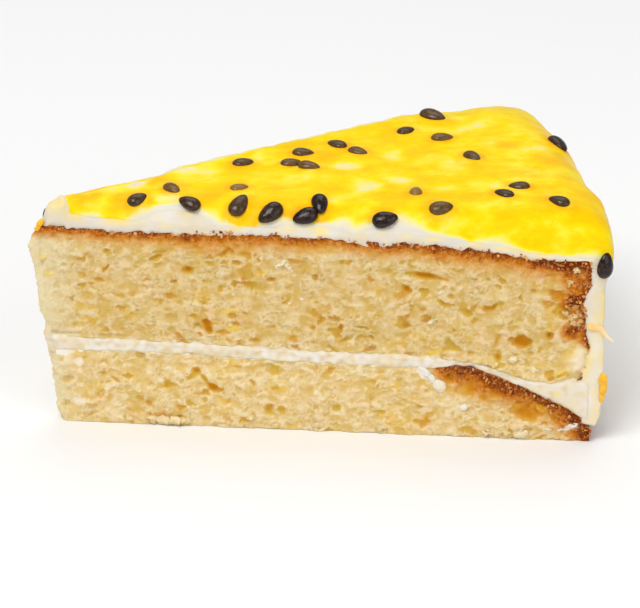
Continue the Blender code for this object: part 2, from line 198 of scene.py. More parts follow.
def piece_of(name, points, faces, facts):
    """A piece with a plain mesh; facts are values kept on its corners for its finish."""
    mesh = bpy.data.meshes.new(name)
    mesh.from_pydata(points.tolist(), [], faces.tolist())
    mesh.shade_smooth()
    piece = bpy.data.objects.new(name, mesh)
    bpy.context.scene.collection.objects.link(piece)
    for fact, values in facts.items():
        kind = "FLOAT_VECTOR" if values.ndim == 2 else "FLOAT"
        store = mesh.attributes.new(fact, kind, "POINT")
        store.data.foreach_set("vector" if values.ndim == 2 else "value", values.astype(np.float32).ravel())
    return piece


def placed(marks, radius, height, share):
    """Strength of the few listed marks on the front cut face, with ragged edges."""
    strength = np.zeros_like(radius)
    ragged = 0.3 * clouds(radius, height, 4.0, 1.2)
    for centre, middle, half_length, half_height, tilt, most in marks:
        turn = math.radians(tilt)
        over, up = radius - centre, height - middle
        length_way = (over * math.cos(turn) + up * math.sin(turn)) / half_length
        height_way = (up * math.cos(turn) - over * math.sin(turn)) / half_height
        inside = 1.0 - np.hypot(length_way, height_way) + ragged
        strength = np.maximum(strength, most * np.sqrt(np.clip(inside, 0.0, 1.0)))
    return strength * (share == 0)


def even_steps(first, last, step):
    """Places from first to last, about one step apart."""
    return np.linspace(first, last, round((last - first) / step) + 1)


def across_share(step, steps):
    """Share of the way between the cut faces; steps are narrow beside both cuts."""
    return 0.5 - 0.5 * np.cos(np.pi * step / steps)


def sponge_layer(name, radii, rows, bottom, top, reach, browned, creamed, marks):
    """One baked layer. browned() is the distance in from its crust, and creamed() that to the filling."""
    facts = {}

    def place(i, j, k):
        nominal = radii[i]
        share = across_share(j, SLICE_STEPS)
        at_cut = (j == 0) | (j == SLICE_STEPS)
        side = back_shift(share, 30.0)
        height = blend(bottom(nominal, at_cut, side), top(nominal), k / rows)
        radius = reach(nominal, height)
        points = tip_bulge(world(radius, SLICE_ANGLE * share, height), radius, height, i, share)
        out = cut_out(share) * at_cut[:, None]
        out[:, 0] -= (i == 0)
        from_cream = creamed(radius, height, nominal)
        calm = np.maximum(ease(from_cream / CALM_WIDTH), ease((nominal - DOME_EDGE) / 5.0))
        out *= (blend(CALM_TEAR, 1.0, calm) / np.maximum(1.0, np.linalg.norm(out, axis=1)))[:, None]
        facts["tear"] = out
        strengths = {kind: placed(spots, radius, height, share) for kind, spots in marks.items()}
        facts["pit"] = strengths["pit"]
        facts["curd"] = strengths["curd"]
        facts["crust"] = browned(radius, height, nominal) - strengths["scorch"]
        smear = 0.3 - from_cream / SMEAR_WIDTH + 1.2 * clouds(radius, height, side, 1.8)
        smear *= at_cut * (radius < CREAM_MARKS_END)
        facts["cream"] = np.clip(np.maximum(smear, strengths["cream"]), 0.0, 1.0)
        return points

    points, faces = skin_of_cells((len(radii) - 1, SLICE_STEPS, rows), place)
    return piece_of(name, points, faces, facts)


def add(tree, kind, feeds, **settings):
    """Adds a node to a tree. feeds maps its inputs to values or to the sockets that feed them."""
    made = tree.nodes.new(kind)
    for setting, value in settings.items():
        setattr(made, setting, value)
    for place, value in feeds.items():
        if isinstance(value, bpy.types.NodeSocket):
            tree.links.new(value, made.inputs[place])
        else:
            made.inputs[place].default_value = value
    return made


def calc(tree, operation, first, second=0.0, third=0.0):
    """One operation on up to three values."""
    feeds = {0: first, 1: second, 2: third}
    return add(tree, "ShaderNodeMath", feeds, operation=operation).outputs[0]


def times(tree, first, *others):
    """Product of two or more values."""
    for other in others:
        first = calc(tree, "MULTIPLY", first, other)
    return first


def plus(tree, first, *others):
    """Sum of two or more values."""
    for other in others:
        first = calc(tree, "ADD", first, other)
    return first


def vector_calc(tree, operation, first, second):
    """A sum or product of vectors; SCALE takes a number second."""
    feeds = {0: first, (3 if operation == "SCALE" else 1): second}
    return add(tree, "ShaderNodeVectorMath", feeds, operation=operation).outputs[0]


def level(tree, value, low, high, to_low=0.0, to_high=1.0):
    """Smooth step from one level to another while a value runs from low to high."""
    feeds = {0: value, 1: low, 2: high, 3: to_low, 4: to_high}
    return add(tree, "ShaderNodeMapRange", feeds, interpolation_type="SMOOTHSTEP").outputs[0]


def soft_noise(tree, place, span, detail=2.0, roughness=0.5, output=0):
    """Noise from 0 to 1 whose lumps are about one span apart."""
    feeds = {"Vector": place, "Scale": 1.0 / span, "Detail": detail, "Roughness": roughness}
    return add(tree, "ShaderNodeTexNoise", feeds).outputs[output]


def swing(tree, place, span, detail=2.0, roughness=0.5):
    """Noise from -0.5 to 0.5."""
    return calc(tree, "SUBTRACT", soft_noise(tree, place, span, detail, roughness), 0.5)


def straying(tree, place, span, roughness):
    """Noise from -0.5 to 0.5 in each direction."""
    waves = soft_noise(tree, place, span, 3.0, roughness, 1)
    return vector_calc(tree, "SUBTRACT", waves, (0.5, 0.5, 0.5))


def split(tree, vector):
    """The three parts of a vector."""
    return add(tree, "ShaderNodeSeparateXYZ", {0: vector}).outputs


def spot_in_metres(tree):
    """Place on the piece, in a finish or in a Geometry Nodes tree."""
    if tree.type == "GEOMETRY":
        return add(tree, "GeometryNodeInputPosition", {}).outputs[0]
    return add(tree, "ShaderNodeTexCoord", {}).outputs["Object"]


def object_place(tree):
    """Place on the piece in millimetres."""
    return vector_calc(tree, "SCALE", spot_in_metres(tree), 1000.0)


def foam(tree, place, span, share, depth):
    """Hollows of a foam of walled cells, in millimetres, and its walls, 1 along their middles."""
    feeds = {"Vector": place, "Scale": 1.0 / span}
    wall = add(tree, "ShaderNodeTexVoronoi", feeds, feature="DISTANCE_TO_EDGE").outputs["Distance"]
    colour = add(tree, "ShaderNodeTexVoronoi", feeds).outputs["Color"]
    open_share = level(tree, split(tree, colour)[0], 1.0 - share, 1.0, 0.0, depth)
    hollow = times(tree, level(tree, wall, 0.03, 0.32), open_share)
    return hollow, level(tree, wall, 0.0, 0.13, 1.0, 0.0)


def new_tree(name, sizes):
    """A Geometry Nodes tree with named inputs; gives the tree and its group input node."""
    tree = bpy.data.node_groups.new(name, "GeometryNodeTree")
    tree.interface.new_socket("Geometry", in_out="INPUT", socket_type="NodeSocketGeometry")
    tree.interface.new_socket("Geometry", in_out="OUTPUT", socket_type="NodeSocketGeometry")
    for size, value in sizes.items():
        socket = tree.interface.new_socket(size, in_out="INPUT", socket_type="NodeSocketFloat")
        socket.default_value = value
    return tree, tree.nodes.new("NodeGroupInput")


def end_tree(tree, geometry, finish):
    """Ends a tree with its instances made real and its finish set."""
    real = add(tree, "GeometryNodeRealizeInstances", {0: geometry})
    painted = add(tree, "GeometryNodeSetMaterial", {0: real.outputs[0], "Material": finish})
    tree.links.new(painted.outputs[0], tree.nodes.new("NodeGroupOutput").inputs[0])


def grown(piece, tree, sizes):
    """Runs a tree on a piece and leaves the result as its plain mesh."""
    modifier = piece.modifiers.new(tree.name, "NODES")
    modifier.node_group = tree
    for socket in tree.interface.items_tree:
        if socket.in_out == "INPUT" and socket.name in sizes:
            modifier[socket.identifier] = sizes[socket.name]
    state = bpy.context.evaluated_depsgraph_get()
    mesh = bpy.data.meshes.new_from_object(piece.evaluated_get(state), preserve_all_data_layers=True,
                                           depsgraph=state)
    piece.modifiers.remove(modifier)
    piece.data = mesh
    return piece


def named(tree, name, kind="FLOAT"):
    """Values that are kept on the mesh under a name."""
    if tree.type == "GEOMETRY":
        return add(tree, "GeometryNodeInputNamedAttribute", {"Name": name}, data_type=kind).outputs[0]
    return add(tree, "ShaderNodeAttribute", {}, attribute_name=name).outputs["Fac"]


def torn_crumb(finish):
    """Tears a cut face of sponge into lumps, ragged pores and fine flakes."""
    tree, sizes = new_tree("torn_crumb", {"Pore Depth": 1.0, "Lump Depth": 1.0, "Pore Stretch": 1.5,
                                          "Seed": 1.0})
    shift = vector_calc(tree, "SCALE", (31.0, 17.0, 53.0), sizes.outputs["Seed"])
    place = vector_calc(tree, "ADD", object_place(tree), shift)
    flat = add(tree, "ShaderNodeCombineXYZ", {0: 1.0, 1: 1.0, 2: sizes.outputs["Pore Stretch"]})
    stretched = vector_calc(tree, "MULTIPLY", place, flat.outputs[0])
    strayed = vector_calc(tree, "SCALE", straying(tree, place, 3.2, 0.6), PORE_DRIFT)
    ragged = vector_calc(tree, "ADD", stretched, strayed)
    large, middle, small = [foam(tree, ragged, *size) for size in PORE_SIZES]
    pores = calc(tree, "MAXIMUM", large[0], calc(tree, "MAXIMUM", middle[0], small[0]))
    pores = times(tree, pores, level(tree, named(tree, "crust"), 0.5, 2.2), sizes.outputs["Pore Depth"])
    pores = calc(tree, "MAXIMUM", pores, named(tree, "pit"))
    coarse = swing(tree, place, LUMP_SPAN)
    flakes = swing(tree, ragged, FLAKE_SPAN)
    standing = level(tree, soft_noise(tree, place, SHRED_SPAN, 1.0), 0.4, 0.6)
    shreds = times(tree, calc(tree, "MAXIMUM", middle[1], small[1]), standing)
    fading = level(tree, named(tree, "crust"), 0.4, 2.0, 1.6, 0.0)
    grit = times(tree, swing(tree, place, GRIT_SPAN, 2.0, 0.6), fading)
    lumps = plus(tree, times(tree, coarse, LUMP_RISE), times(tree, flakes, FLAKE_RISE),
                 times(tree, shreds, SHRED_RISE), grit)
    lumps = times(tree, lumps, sizes.outputs["Lump Depth"])
    rise = times(tree, calc(tree, "SUBTRACT", lumps, times(tree, pores, 0.5)), 0.001)
    move = vector_calc(tree, "SCALE", named(tree, "tear", "FLOAT_VECTOR"), rise)
    moved = add(tree, "GeometryNodeSetPosition", {0: sizes.outputs[0], "Offset": move})
    kept = moved.outputs[0]
    for fact, value in (("pore", pores), ("flake", flakes), ("shred", shreds)):
        feeds = {0: kept, "Name": fact, "Value": value}
        kept = add(tree, "GeometryNodeStoreNamedAttribute", feeds, data_type="FLOAT").outputs[0]
    end_tree(tree, kept, finish)
    return tree


def paint(red, green, blue):
    """Colour as a screen shows it, for a shader's socket."""
    return tuple((tone / 255 / 12.92) if tone < 11 else ((tone / 255 + 0.055) / 1.055) ** 2.4
                 for tone in (red, green, blue)) + (1.0,)


def mixed(tree, share, first, second, way="MIX"):
    """A share of the second colour over the first."""
    feeds = {0: share, 6: first, 7: second}
    return add(tree, "ShaderNodeMix", feeds, data_type="RGBA", blend_type=way).outputs[2]


def ramp(tree, value, stops):
    """Colours along a value, from a list of (value, colour) stops."""
    made = add(tree, "ShaderNodeValToRGB", {0: value})
    bar = made.color_ramp
    while len(bar.elements) < len(stops):
        bar.elements.new(0.5)
    for element, (place, colour) in zip(bar.elements, stops):
        element.position = place
        element.color = colour
    return made.outputs[0]


def new_finish(name, **sockets):
    """A Principled finish; gives the material, its tree and its shader. sockets are fixed values."""
    finish = bpy.data.materials.new(name)
    finish.use_nodes = True
    tree = finish.node_tree
    shader = tree.nodes["Principled BSDF"]
    for socket, value in sockets.items():
        shader.inputs[socket.replace("_", " ")].default_value = value
    return finish, tree, shader


def bumped(tree, shader, height, distance, strength=1.0):
    """Fine relief in a finish, up to a distance in millimetres."""
    bump = add(tree, "ShaderNodeBump", {"Height": height, "Strength": strength, "Distance": distance / 1000})
    tree.links.new(bump.outputs[0], shader.inputs["Normal"])


def browned_over(tree, place, base):
    """The browned crust over the crumb's colour: darkest at its edge, with light and dark specks."""
    ragged = times(tree, swing(tree, place, 1.3, 3.0, 0.7), 2.2)
    patchy = times(tree, swing(tree, place, 4.2), 1.8)
    inward = plus(tree, named(tree, "crust"), ragged, patchy)
    brown = ramp(tree, times(tree, inward, 0.25), [
        (0.0, paint(130, 58, 20)), (0.12, paint(162, 83, 28)), (0.28, paint(198, 116, 28)),
        (0.6, paint(215, 145, 40))])
    speck = soft_noise(tree, place, 0.75, 2.0, 0.6)
    baked = level(tree, inward, 1.0, 2.2, 1.0, 0.0)
    light_speck = times(tree, level(tree, speck, 0.54, 0.66, 0.0, 0.5), baked)
    dark_speck = times(tree, level(tree, speck, 0.34, 0.47, 0.7, 0.0), baked)
    brown = mixed(tree, light_speck, brown, paint(230, 170, 110))
    brown = mixed(tree, dark_speck, brown, paint(112, 52, 26))
    return mixed(tree, level(tree, inward, 1.0, 4.0, 1.0, 0.0), base, brown)


def crumb_finish():
    """Yellow crumb: cream on its raised flakes and ochre in its pores, partly its own tone and partly painted
    highlight and shade, browned and gritty towards the crust.
    """
    finish, tree, shader = new_finish("sponge_crumb", Roughness=0.9, Specular_IOR_Level=0.0,
                                      Subsurface_Weight=0.4, Subsurface_Scale=0.0009,
                                      Subsurface_Radius=(1.0, 0.6, 0.25))
    place = object_place(tree)
    along_x, _, high = split(tree, place)
    grain = soft_noise(tree, place, 0.9, 2.0, 0.5)
    patches = soft_noise(tree, place, 3.2, 3.0, 0.55)
    base = mixed(tree, level(tree, patches, 0.38, 0.62), paint(229, 202, 144), paint(219, 186, 110))
    yolk = level(tree, soft_noise(tree, place, 7.0, 3.0, 0.6), 0.56, 0.68, 0.0, 0.7)
    base = mixed(tree, yolk, base, paint(230, 190, 82))
    # Paler on the raised flakes and standing walls and darker between them: partly the crumb's own tone,
    # partly painted highlight and shade on its relief.
    pale = plus(tree, named(tree, "flake"), times(tree, grain, 0.25))
    warm = level(tree, soft_noise(tree, place, 5.0, 2.0), 0.42, 0.62)
    base = mixed(tree, level(tree, pale, -0.1, 0.1, 0.65, 0.0), base, paint(211, 173, 86))
    flake = mixed(tree, warm, paint(238, 222, 178), paint(243, 216, 176))
    base = mixed(tree, level(tree, pale, 0.12, 0.32, 0.0, 0.85), base, flake)
    base = mixed(tree, times(tree, named(tree, "shred"), 0.6), base, paint(243, 227, 192))
    # Ochre in the pores, partly the crumb's own tone and partly painted shade: the colour darkens with the
    # depth of each pore and of the listed pits.
    deep = plus(tree, named(tree, "pore"), times(tree, grain, 0.25))
    hollow = mixed(tree, warm, paint(212, 174, 66), paint(214, 158, 62))
    base = mixed(tree, level(tree, deep, 0.15, 0.7, 0.0, 0.9), base, hollow)
    base = mixed(tree, level(tree, deep, 0.75, 1.5), base, paint(202, 134, 26))
    base = mixed(tree, level(tree, high, 17.0, 22.0), base, paint(246, 243, 236), "MULTIPLY")
    base = mixed(tree, level(tree, along_x, -68.0, -59.0, 0.55, 0.0), base, paint(230, 222, 188))
    base = browned_over(tree, place, base)
    base = mixed(tree, times(tree, named(tree, "curd"), 0.85), base, paint(238, 200, 64))
    base = mixed(tree, level(tree, named(tree, "cream"), 0.15, 0.8, 0.0, 0.92), base, paint(246, 239, 224))
    tree.links.new(base, shader.inputs["Base Color"])
    bumped(tree, shader, soft_noise(tree, place, 0.8, 2.0, 0.5), 0.06, 0.5)
    return finish


lower_radii = np.append(even_steps(TIP_RADIUS, SPONGE_RADIUS, CRUMB_STEP), [113.8, 115.1, BASE_RADIUS])
sponge_finish = crumb_finish()
crumb_tree = torn_crumb(sponge_finish)


def lower_browned(radius, height, nominal):
    """Only the sloping part of the dome still has its crust; the flat top was cut away."""
    trimmed = TRIMMED_DEPTH * (1.0 - ease((nominal - TRIMMED_TO) / 6.0))
    from_top = (along(LOWER_TOP, nominal) - height) / along(SLOPE_CRUST, nominal) + trimmed
    return np.minimum(from_top, 0.6 * (BASE_RADIUS - radius) + 0.2)


def lower_foot(nominal, at_cut, side):
    """Torn lower edge: the knife lifted the crumb a little along both cuts."""
    return at_cut * np.clip(FOOT_LIFT * clouds(nominal, side, 9.0, 3.4) + 0.15, 0.0, FOOT_LIFT)


lower_crumb = sponge_layer("lower_crumb", lower_radii, 56, lower_foot,
                           lambda radius: along(LOWER_TOP, radius), tip_radius, lower_browned,
                           lambda radius, height, nominal: along(LOWER_TOP, nominal) - height, LOWER_MARKS)
grown(lower_crumb, crumb_tree, {"Seed": 1.0, "Pore Depth": 0.85})
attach(lower_crumb, "root")
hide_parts("lower_sponge")

# Cream filling: whipped cream spread between the sponges, a thin sheet inside that thickens to a
# wedge where the lower dome falls away. The knife has smeared it a little over the crumb.
UPPER_BOTTOM = [(0, 19.8), (14, 19.6), (30, 19.3), (56, 18.5), (72, 18.5), (84, 17.9), (92, 17.3),
                (95, 16.4), (98, 15.4), (101, 14.5), (104, 13.7), (108, 13.3), (113, 14.1)]
CREAM_STEP = 0.45
FILLING_ROWS = 14
FILLING_LAP = 1.0
FILLING_END = 116.0
WEDGE_START = 98.0
CREAM_SWELL = 0.85
CREAM_SUNK = 0.6
CURD_STREAKS = [(109.3, 11.0, 1.6, 0.5, 5, 0.9), (115.3, 11.3, 1.4, 0.5, 10, 0.6),
                (104.0, 12.4, 2.0, 0.4, -20, 0.3)]
CREAM_STEPS = 60


def wander(place, span, start):
    """Uneven waves between about -1 and 1 along one line."""
    turn = 2 * np.pi * place / span
    return (np.sin(turn + start) + 0.7 * np.sin(2.3 * turn + 2.1 * start)
            + 0.4 * np.sin(5.3 * turn + 3.7 * start)) / 2.1


def cream_finish():
    """Fresh cream: soft white with a breath of yellow, and yellow where the curd has run into it."""
    finish, tree, shader = new_finish("whipped_cream", Roughness=0.5, Specular_IOR_Level=0.15,
                                      Subsurface_Weight=0.25, Subsurface_Scale=0.0006,
                                      Subsurface_Radius=(1.0, 0.8, 0.55))
    place = object_place(tree)
    cloud = soft_noise(tree, place, 7.0, 2.0, 0.5)
    base = mixed(tree, level(tree, cloud, 0.35, 0.65), paint(236, 230, 219), paint(234, 223, 200))
    # Painted shade: the cream turns a little greyer with height, so the top of the icing, which faces the
    # light, reads dimmer than its cut faces.
    high = split(tree, place)[2]
    base = mixed(tree, level(tree, high, 12.0, 44.0), base, paint(241, 240, 240), "MULTIPLY")
    base = mixed(tree, named(tree, "stain"), base, paint(250, 220, 96))
    # Crumb colour at the cream's edges: crumbs rubbed into the filling, and low on the icing's cut face by
    # the crust partly crumbs and partly painted shade.
    base = mixed(tree, times(tree, named(tree, "crumbs_and_shade"), 0.8), base, paint(224, 200, 150))
    tree.links.new(base, shader.inputs["Base Color"])
    bumped(tree, shader, soft_noise(tree, place, 1.2, 3.0, 0.55), 0.25, 0.5)
    return finish


whipped = cream_finish()
filling_radii = even_steps(TIP_RADIUS, FILLING_END, CREAM_STEP)


def filling_piece():
    """Sheet of cream from cut to cut. It swells out of both, and is pressed back where the sponges meet."""
    facts = {}

    def place(i, j, k):
        nominal = filling_radii[i]
        share = across_share(j, CREAM_STEPS)
        nearer = np.minimum(share, 1.0 - share) * nominal * SLICE_ANGLE
        at_cut = 1.0 - ease(nearer / 2.5)
        side = back_shift(share, 40.0)
        low, high = along(LOWER_TOP, nominal), along(UPPER_BOTTOM, nominal)
        up = k / FILLING_ROWS
        squeezed = ease((nominal - DOME_EDGE) / 4.0) * (1.0 - ease((nominal - WEDGE_START) / 6.0))
        lap = FILLING_LAP * at_cut * (1.0 - 0.9 * squeezed)
        height = blend(low - lap, high + lap, up)
        radius = tip_radius(nominal, height)
        points = tip_bulge(world(radius, SLICE_ANGLE * share, height), radius, height, i, share)
        from_edge = np.minimum(height - low, high - height)
        wedge = ease((nominal - WEDGE_START) / 8.0)
        swell = CREAM_SWELL * ease((from_edge + 1.0) / 1.5) - CREAM_SUNK
        swell += blend(0.45 * clouds(radius, height, side, 1.7) + 0.3 * clouds(radius, height, side, 6.0),
                       0.25 * clouds(radius, height, side, 5.0) + 0.05, wedge)
        swell -= 0.35 * squeezed + 0.25 * ease((nominal - 113.0) / (FILLING_END - 113.0))
        # Crumb colour near the sponges, for crumbs the knife rubbed into the cream's edges.
        crumbs_and_shade_share = 1.3 - ease((from_edge + 0.5) / 0.8) + 1.2 * clouds(radius, height, side, 1.3)
        facts["crumbs_and_shade"] = np.clip(crumbs_and_shade_share - 0.3 * wedge, 0.0, 1.0)
        points += cut_out(share) * ((j == 0) | (j == CREAM_STEPS))[:, None] * swell[:, None] / 1000
        streaks = placed(CURD_STREAKS, radius, height, share)
        facts["stain"] = np.clip(np.maximum(streaks, 0.5 * clouds(radius, height, side, 6.0) - 0.1), 0.0, 1.0)
        return points

    points, faces = skin_of_cells((len(filling_radii) - 1, CREAM_STEPS, FILLING_ROWS), place)
    return piece_of("filling_cream", points, faces, facts)


filling_cream = filling_piece()
filling_cream.data.materials.append(whipped)
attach(filling_cream, "root")
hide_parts("cream_filling")

# Upper sponge: the deep layer, baked with a level top that stays browned under the icing. Its side
# is crusted and a little hollow. It sits on the filling and shows the larger pores of the slice.
UPPER_TOP = [(0, 44.8), (12, 44.7), (16, 44.4), (32, 44.4), (38, 45.2), (50, 45.4), (56, 44.7),
             (66, 44.6), (72, 43.9), (80, 44.1), (92, 43.3), (100, 42.3), (106, 41.6), (116, 40.9)]
CRUST_DEPTH = [(0, 1.0), (28, 1.05), (40, 1.75), (52, 1.5), (60, 1.15), (85, 1.4), (113, 1.9)]
UPPER_MARKS = {
    "pit": [(32.5, 36.0, 1.5, 1.1, 0, 1.5), (36.5, 23.5, 1.1, 2.0, 15, 2.0), (50.0, 34.5, 1.1, 0.6, 0, 1.2),
            (59.0, 35.5, 0.8, 0.9, 0, 1.1), (78.0, 33.5, 1.3, 0.9, -35, 1.6),
            (82.0, 36.4, 4.6, 0.8, -7, 1.5), (85.5, 30.6, 1.6, 0.7, -30, 1.2),
            (64.3, 24.0, 0.7, 1.3, -10, 1.4), (101.8, 22.5, 2.1, 1.8, 0, 1.9),
            (107.6, 24.2, 1.1, 1.1, 20, 1.4), (97.0, 18.6, 0.9, 1.1, 0, 1.3),
            (26.0, 38.6, 1.9, 0.6, 25, 1.1), (97.5, 31.0, 0.8, 0.8, 0, 1.0),
            (104.0, 34.0, 0.7, 0.6, 0, 0.9), (46.5, 20.5, 1.3, 0.6, 0, 0.9),
            (70.5, 19.6, 1.4, 0.6, 20, 1.0), (90.5, 28.5, 1.3, 0.9, -30, 1.0),
            (14.0, 33.0, 1.6, 0.5, -15, 0.8)],
    "cream": [(53.7, 29.3, 0.5, 0.3, 20, 0.8), (56.2, 30.3, 0.5, 0.35, -20, 0.8),
              (42.0, 30.7, 0.6, 0.35, 10, 0.8), (47.6, 25.9, 0.5, 0.35, 0, 0.7),
              (1.2, 26.5, 2.2, 3.0, 0, 0.3), (2.6, 22.0, 2.4, 2.0, 0, 0.5),
              (113.6, 18.6, 2.8, 4.6, -15, 0.62)],
    "curd": [(1.9, 37.9, 1.8, 0.9, -20, 0.7), (3.5, 33.9, 2.4, 0.9, -15, 0.6),
             (41.1, 27.0, 2.8, 0.8, 8, 0.8), (41.9, 23.1, 2.6, 0.7, 10, 0.9),
             (83.0, 18.9, 2.8, 0.8, 25, 0.9), (112.8, 19.4, 2.2, 3.4, 0, 0.7),
             (109.8, 15.6, 3.2, 1.3, 14, 0.6), (48.1, 36.1, 1.6, 0.8, 0, 0.5)],
    "scorch": [(112.4, 32.2, 3.6, 1.6, 8, 2.6), (108.5, 40.2, 6.0, 1.4, -6, 1.2),
               (112.0, 36.4, 2.6, 2.4, 0, 1.0), (111.4, 25.0, 2.4, 2.2, 30, 1.8),
               (110.4, 21.4, 1.6, 2.2, 10, 1.8)],
}
SIDE_CRUST = [(14, 0.05), (21, 0.1), (23, 1.2), (26, 1.9), (28.6, 1.2), (31, 1.8), (35, 1.9), (38, 1.5),
              (41, 2.4)]


def upper_browned(radius, height, nominal):
    """The whole top keeps its crust, and so does the side, thickest where it baked longest."""
    from_top = (along(UPPER_TOP, nominal) - height) / along(CRUST_DEPTH, nominal)
    from_side = np.maximum(along(UPPER_SIDE, height) - radius, 0.0) / along(SIDE_CRUST, height)
    return np.minimum(from_top, from_side + 0.8 * clouds(radius, height, 21.0, 2.0))


upper_radii = even_steps(TIP_RADIUS, SPONGE_RADIUS, CRUMB_STEP)
upper_crumb = sponge_layer("upper_crumb", upper_radii, 88,
                           lambda radius, at_cut, side: along(UPPER_BOTTOM, radius),
                           lambda radius: along(UPPER_TOP, radius),
                           lambda radius, height: rim_reach(tip_radius(radius, height), height),
                           upper_browned,
                           lambda radius, height, nominal: height - along(UPPER_BOTTOM, nominal),
                           UPPER_MARKS)
grown(upper_crumb, crumb_tree, {"Seed": 2.0})
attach(upper_crumb, "root")
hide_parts("upper_sponge")

# Icing: the same cream, spread thick over the top, rolled over the rim and smoothed down the side
# with a palette knife. Both cuts round its upper edges, and it hangs over the crust in soft lobes.
CROWN_HEIGHT = 49.3
ROLL_WIDTH = 11.0
ROLL_DEPTH = 7.3
ROLL_START = 108.0
ROLL_FOOT = CROWN_HEIGHT - ROLL_DEPTH
ROLL_LENGTH = 14.6
TIP_LUMP = [(3, -0.4), (4.3, 0.5), (5.3, 0.2), (7, -0.2), (12, -0.1), (15, 0.0)]
FRONT_DROP = [(3, 0.0), (4.8, 0.3), (6.8, 1.4), (10, 2.1), (14, 2.5), (20, 2.8), (48, 3.7), (62, 4.3),
              (76, 3.8), (86, 4.2), (92, 5.0), (98, 6.0), (104, 7.1), (110, 8.0), (119, 6.0)]
FRONT_ROUND = [(3, 1.0), (8, 2.4), (14, 3.6), (20, 4.5), (48, 6.0), (80, 6.5), (100, 8.5), (112, 10.0)]
BACK_DROP = [(3, -0.1), (17, 0.2), (25, 0.4), (30, 0.4), (35, -0.6), (90, -0.7), (98, 0.1), (104, 1.6),
             (110, 2.2), (119, 2.3)]
BACK_ROUND = [(3, 0.8), (20, 4.0), (40, 8.0), (90, 8.0), (108, 11.0)]
FRONT_STAIN = [(3, 0.4), (24, 0.4), (34, 0.15), (84, 0.1), (94, 0.3)]
DROP_FOOT = 36.0
LEAST_ICING = 0.5
RIM_OUT = [(0, 0.0), (6, 0.3), (9, 0.7), (12, -0.8), (18, -1.0), (22, 0.0), (28, 0.6), (32, 2.4), (36, 3.6)]
RIM_FROM = 104.0
RIM_FOOT = 22.0
SIDE_FOOT = 3.9
ICING_SIDE = [(3, 116.7), (3.9, 117.1), (6.3, 118.1), (10, 118.5), (36, 118.3), (42, 119.0)]
SPREAD = 0.35
ICING_STEP = 0.45
ICING_ROWS = 10
ICING_ACROSS = 104
INNER_LAP = 0.9
TOP_END = ROLL_START + 6.5
LOBES_END = 114.0
# Lobes that hang down over the crust on the front cut: radius, half width and how far.
FRONT_LOBES = [(71.5, 4.5, 1.3), (42.0, 9.0, 0.75)]
# Curd pressed into the lower corner of the front cut: radius, height, half width, half height, how much.
CORNER_STAIN = (114.6, 19.0, 2.6, 5.5, 0.6)
SIDE_START = 112.0


def shoulder(radius, share, height):
    """Fall of the icing beside both cuts, where the knife rounded it; none low on the side."""
    width = radius * SLICE_ANGLE
    front = np.maximum(0.0, 1.0 - width * share / along(FRONT_ROUND, radius))
    back = np.maximum(0.0, 1.0 - width * (1.0 - share) / along(BACK_ROUND, radius))
    depth = np.maximum(0.0, (height - DROP_FOOT) / (CROWN_HEIGHT - DROP_FOOT))
    fall = depth * (along(FRONT_DROP, radius) * front ** 2 + along(BACK_DROP, radius) * back ** 2)
    room = height - along(UPPER_TOP, radius) - LEAST_ICING
    return np.where(radius < BASE_RADIUS, np.minimum(fall, room), fall)


def rim_bulge(radius, share, height):
    """How far the rolled rim stands out or in, most at the back where the cut pressed it out."""
    over = ease((radius - RIM_FROM) / (ROLL_START + ROLL_WIDTH - RIM_FROM))
    return along(RIM_OUT, math.degrees(SLICE_ANGLE) * share) * over * ease((height - RIM_FOOT) / 14.0)


def on_icing(reach):
    """Radius and height of the icing's profile; reach goes on over the rim and down the side."""
    turn = np.clip((reach - ROLL_START) / ROLL_LENGTH, 0.0, 1.0) * np.pi / 2
    below = np.maximum(0.0, reach - ROLL_START - ROLL_LENGTH)
    height = np.where(turn > 0, ROLL_FOOT + ROLL_DEPTH * np.cos(turn) - below,
                      CROWN_HEIGHT + along(TIP_LUMP, reach))
    rolled = ROLL_START + ROLL_WIDTH * np.sin(turn)
    side = along(ICING_SIDE, height)
    return np.where(turn > 0, np.where(below > 0, side, rolled), reach), height


def palette_marks(reach, share):
    """Low waves left in the icing by the palette knife."""
    return 0.18 * wander(reach + 9.0 * share, 9.0, 2.0) + 0.12 * clouds(reach, 60 * share, 3.0, 5.0)


def on_slope(reach, share, lift):
    """Points lifted off the icing along the slope of its profile, and their radius and height."""
    radius, height = on_icing(reach)
    ahead_radius, ahead_height = on_icing(reach + 0.5)
    behind_radius, behind_height = on_icing(reach - 0.5)
    run, fall = ahead_radius - behind_radius, ahead_height - behind_height
    length = np.hypot(run, fall)
    bulge = rim_bulge(radius, share, height)
    height = height - shoulder(radius, share, height) + lift * run / length
    radius = radius + bulge - lift * fall / length
    return world(radius, SLICE_ANGLE * share, height), radius, height


SIDE_LENGTH = ROLL_FOOT - SIDE_FOOT
icing_reach = even_steps(TIP_RADIUS, ROLL_START + ROLL_LENGTH + SIDE_LENGTH, ICING_STEP)


def icing_inside(reach):
    """Inner face of the icing, against the crust on top and the sponge's side below."""
    top_share = np.clip((reach - TIP_RADIUS) / (TOP_END - TIP_RADIUS), 0.0, 1.0)
    side_share = np.clip((reach - TOP_END) / (icing_reach[-1] - TOP_END), 0.0, 1.0)
    corner = along(UPPER_TOP, SPONGE_RADIUS)
    nominal = blend(TIP_RADIUS, SPONGE_RADIUS, top_share)
    side_height = blend(corner, SIDE_FOOT + 0.6, side_share)
    height = np.where(reach < TOP_END, along(UPPER_TOP, nominal), side_height)
    side_radius = along(UPPER_SIDE, np.maximum(height, 16.0))
    return np.where(reach < TOP_END, rim_reach(nominal, height), side_radius), height


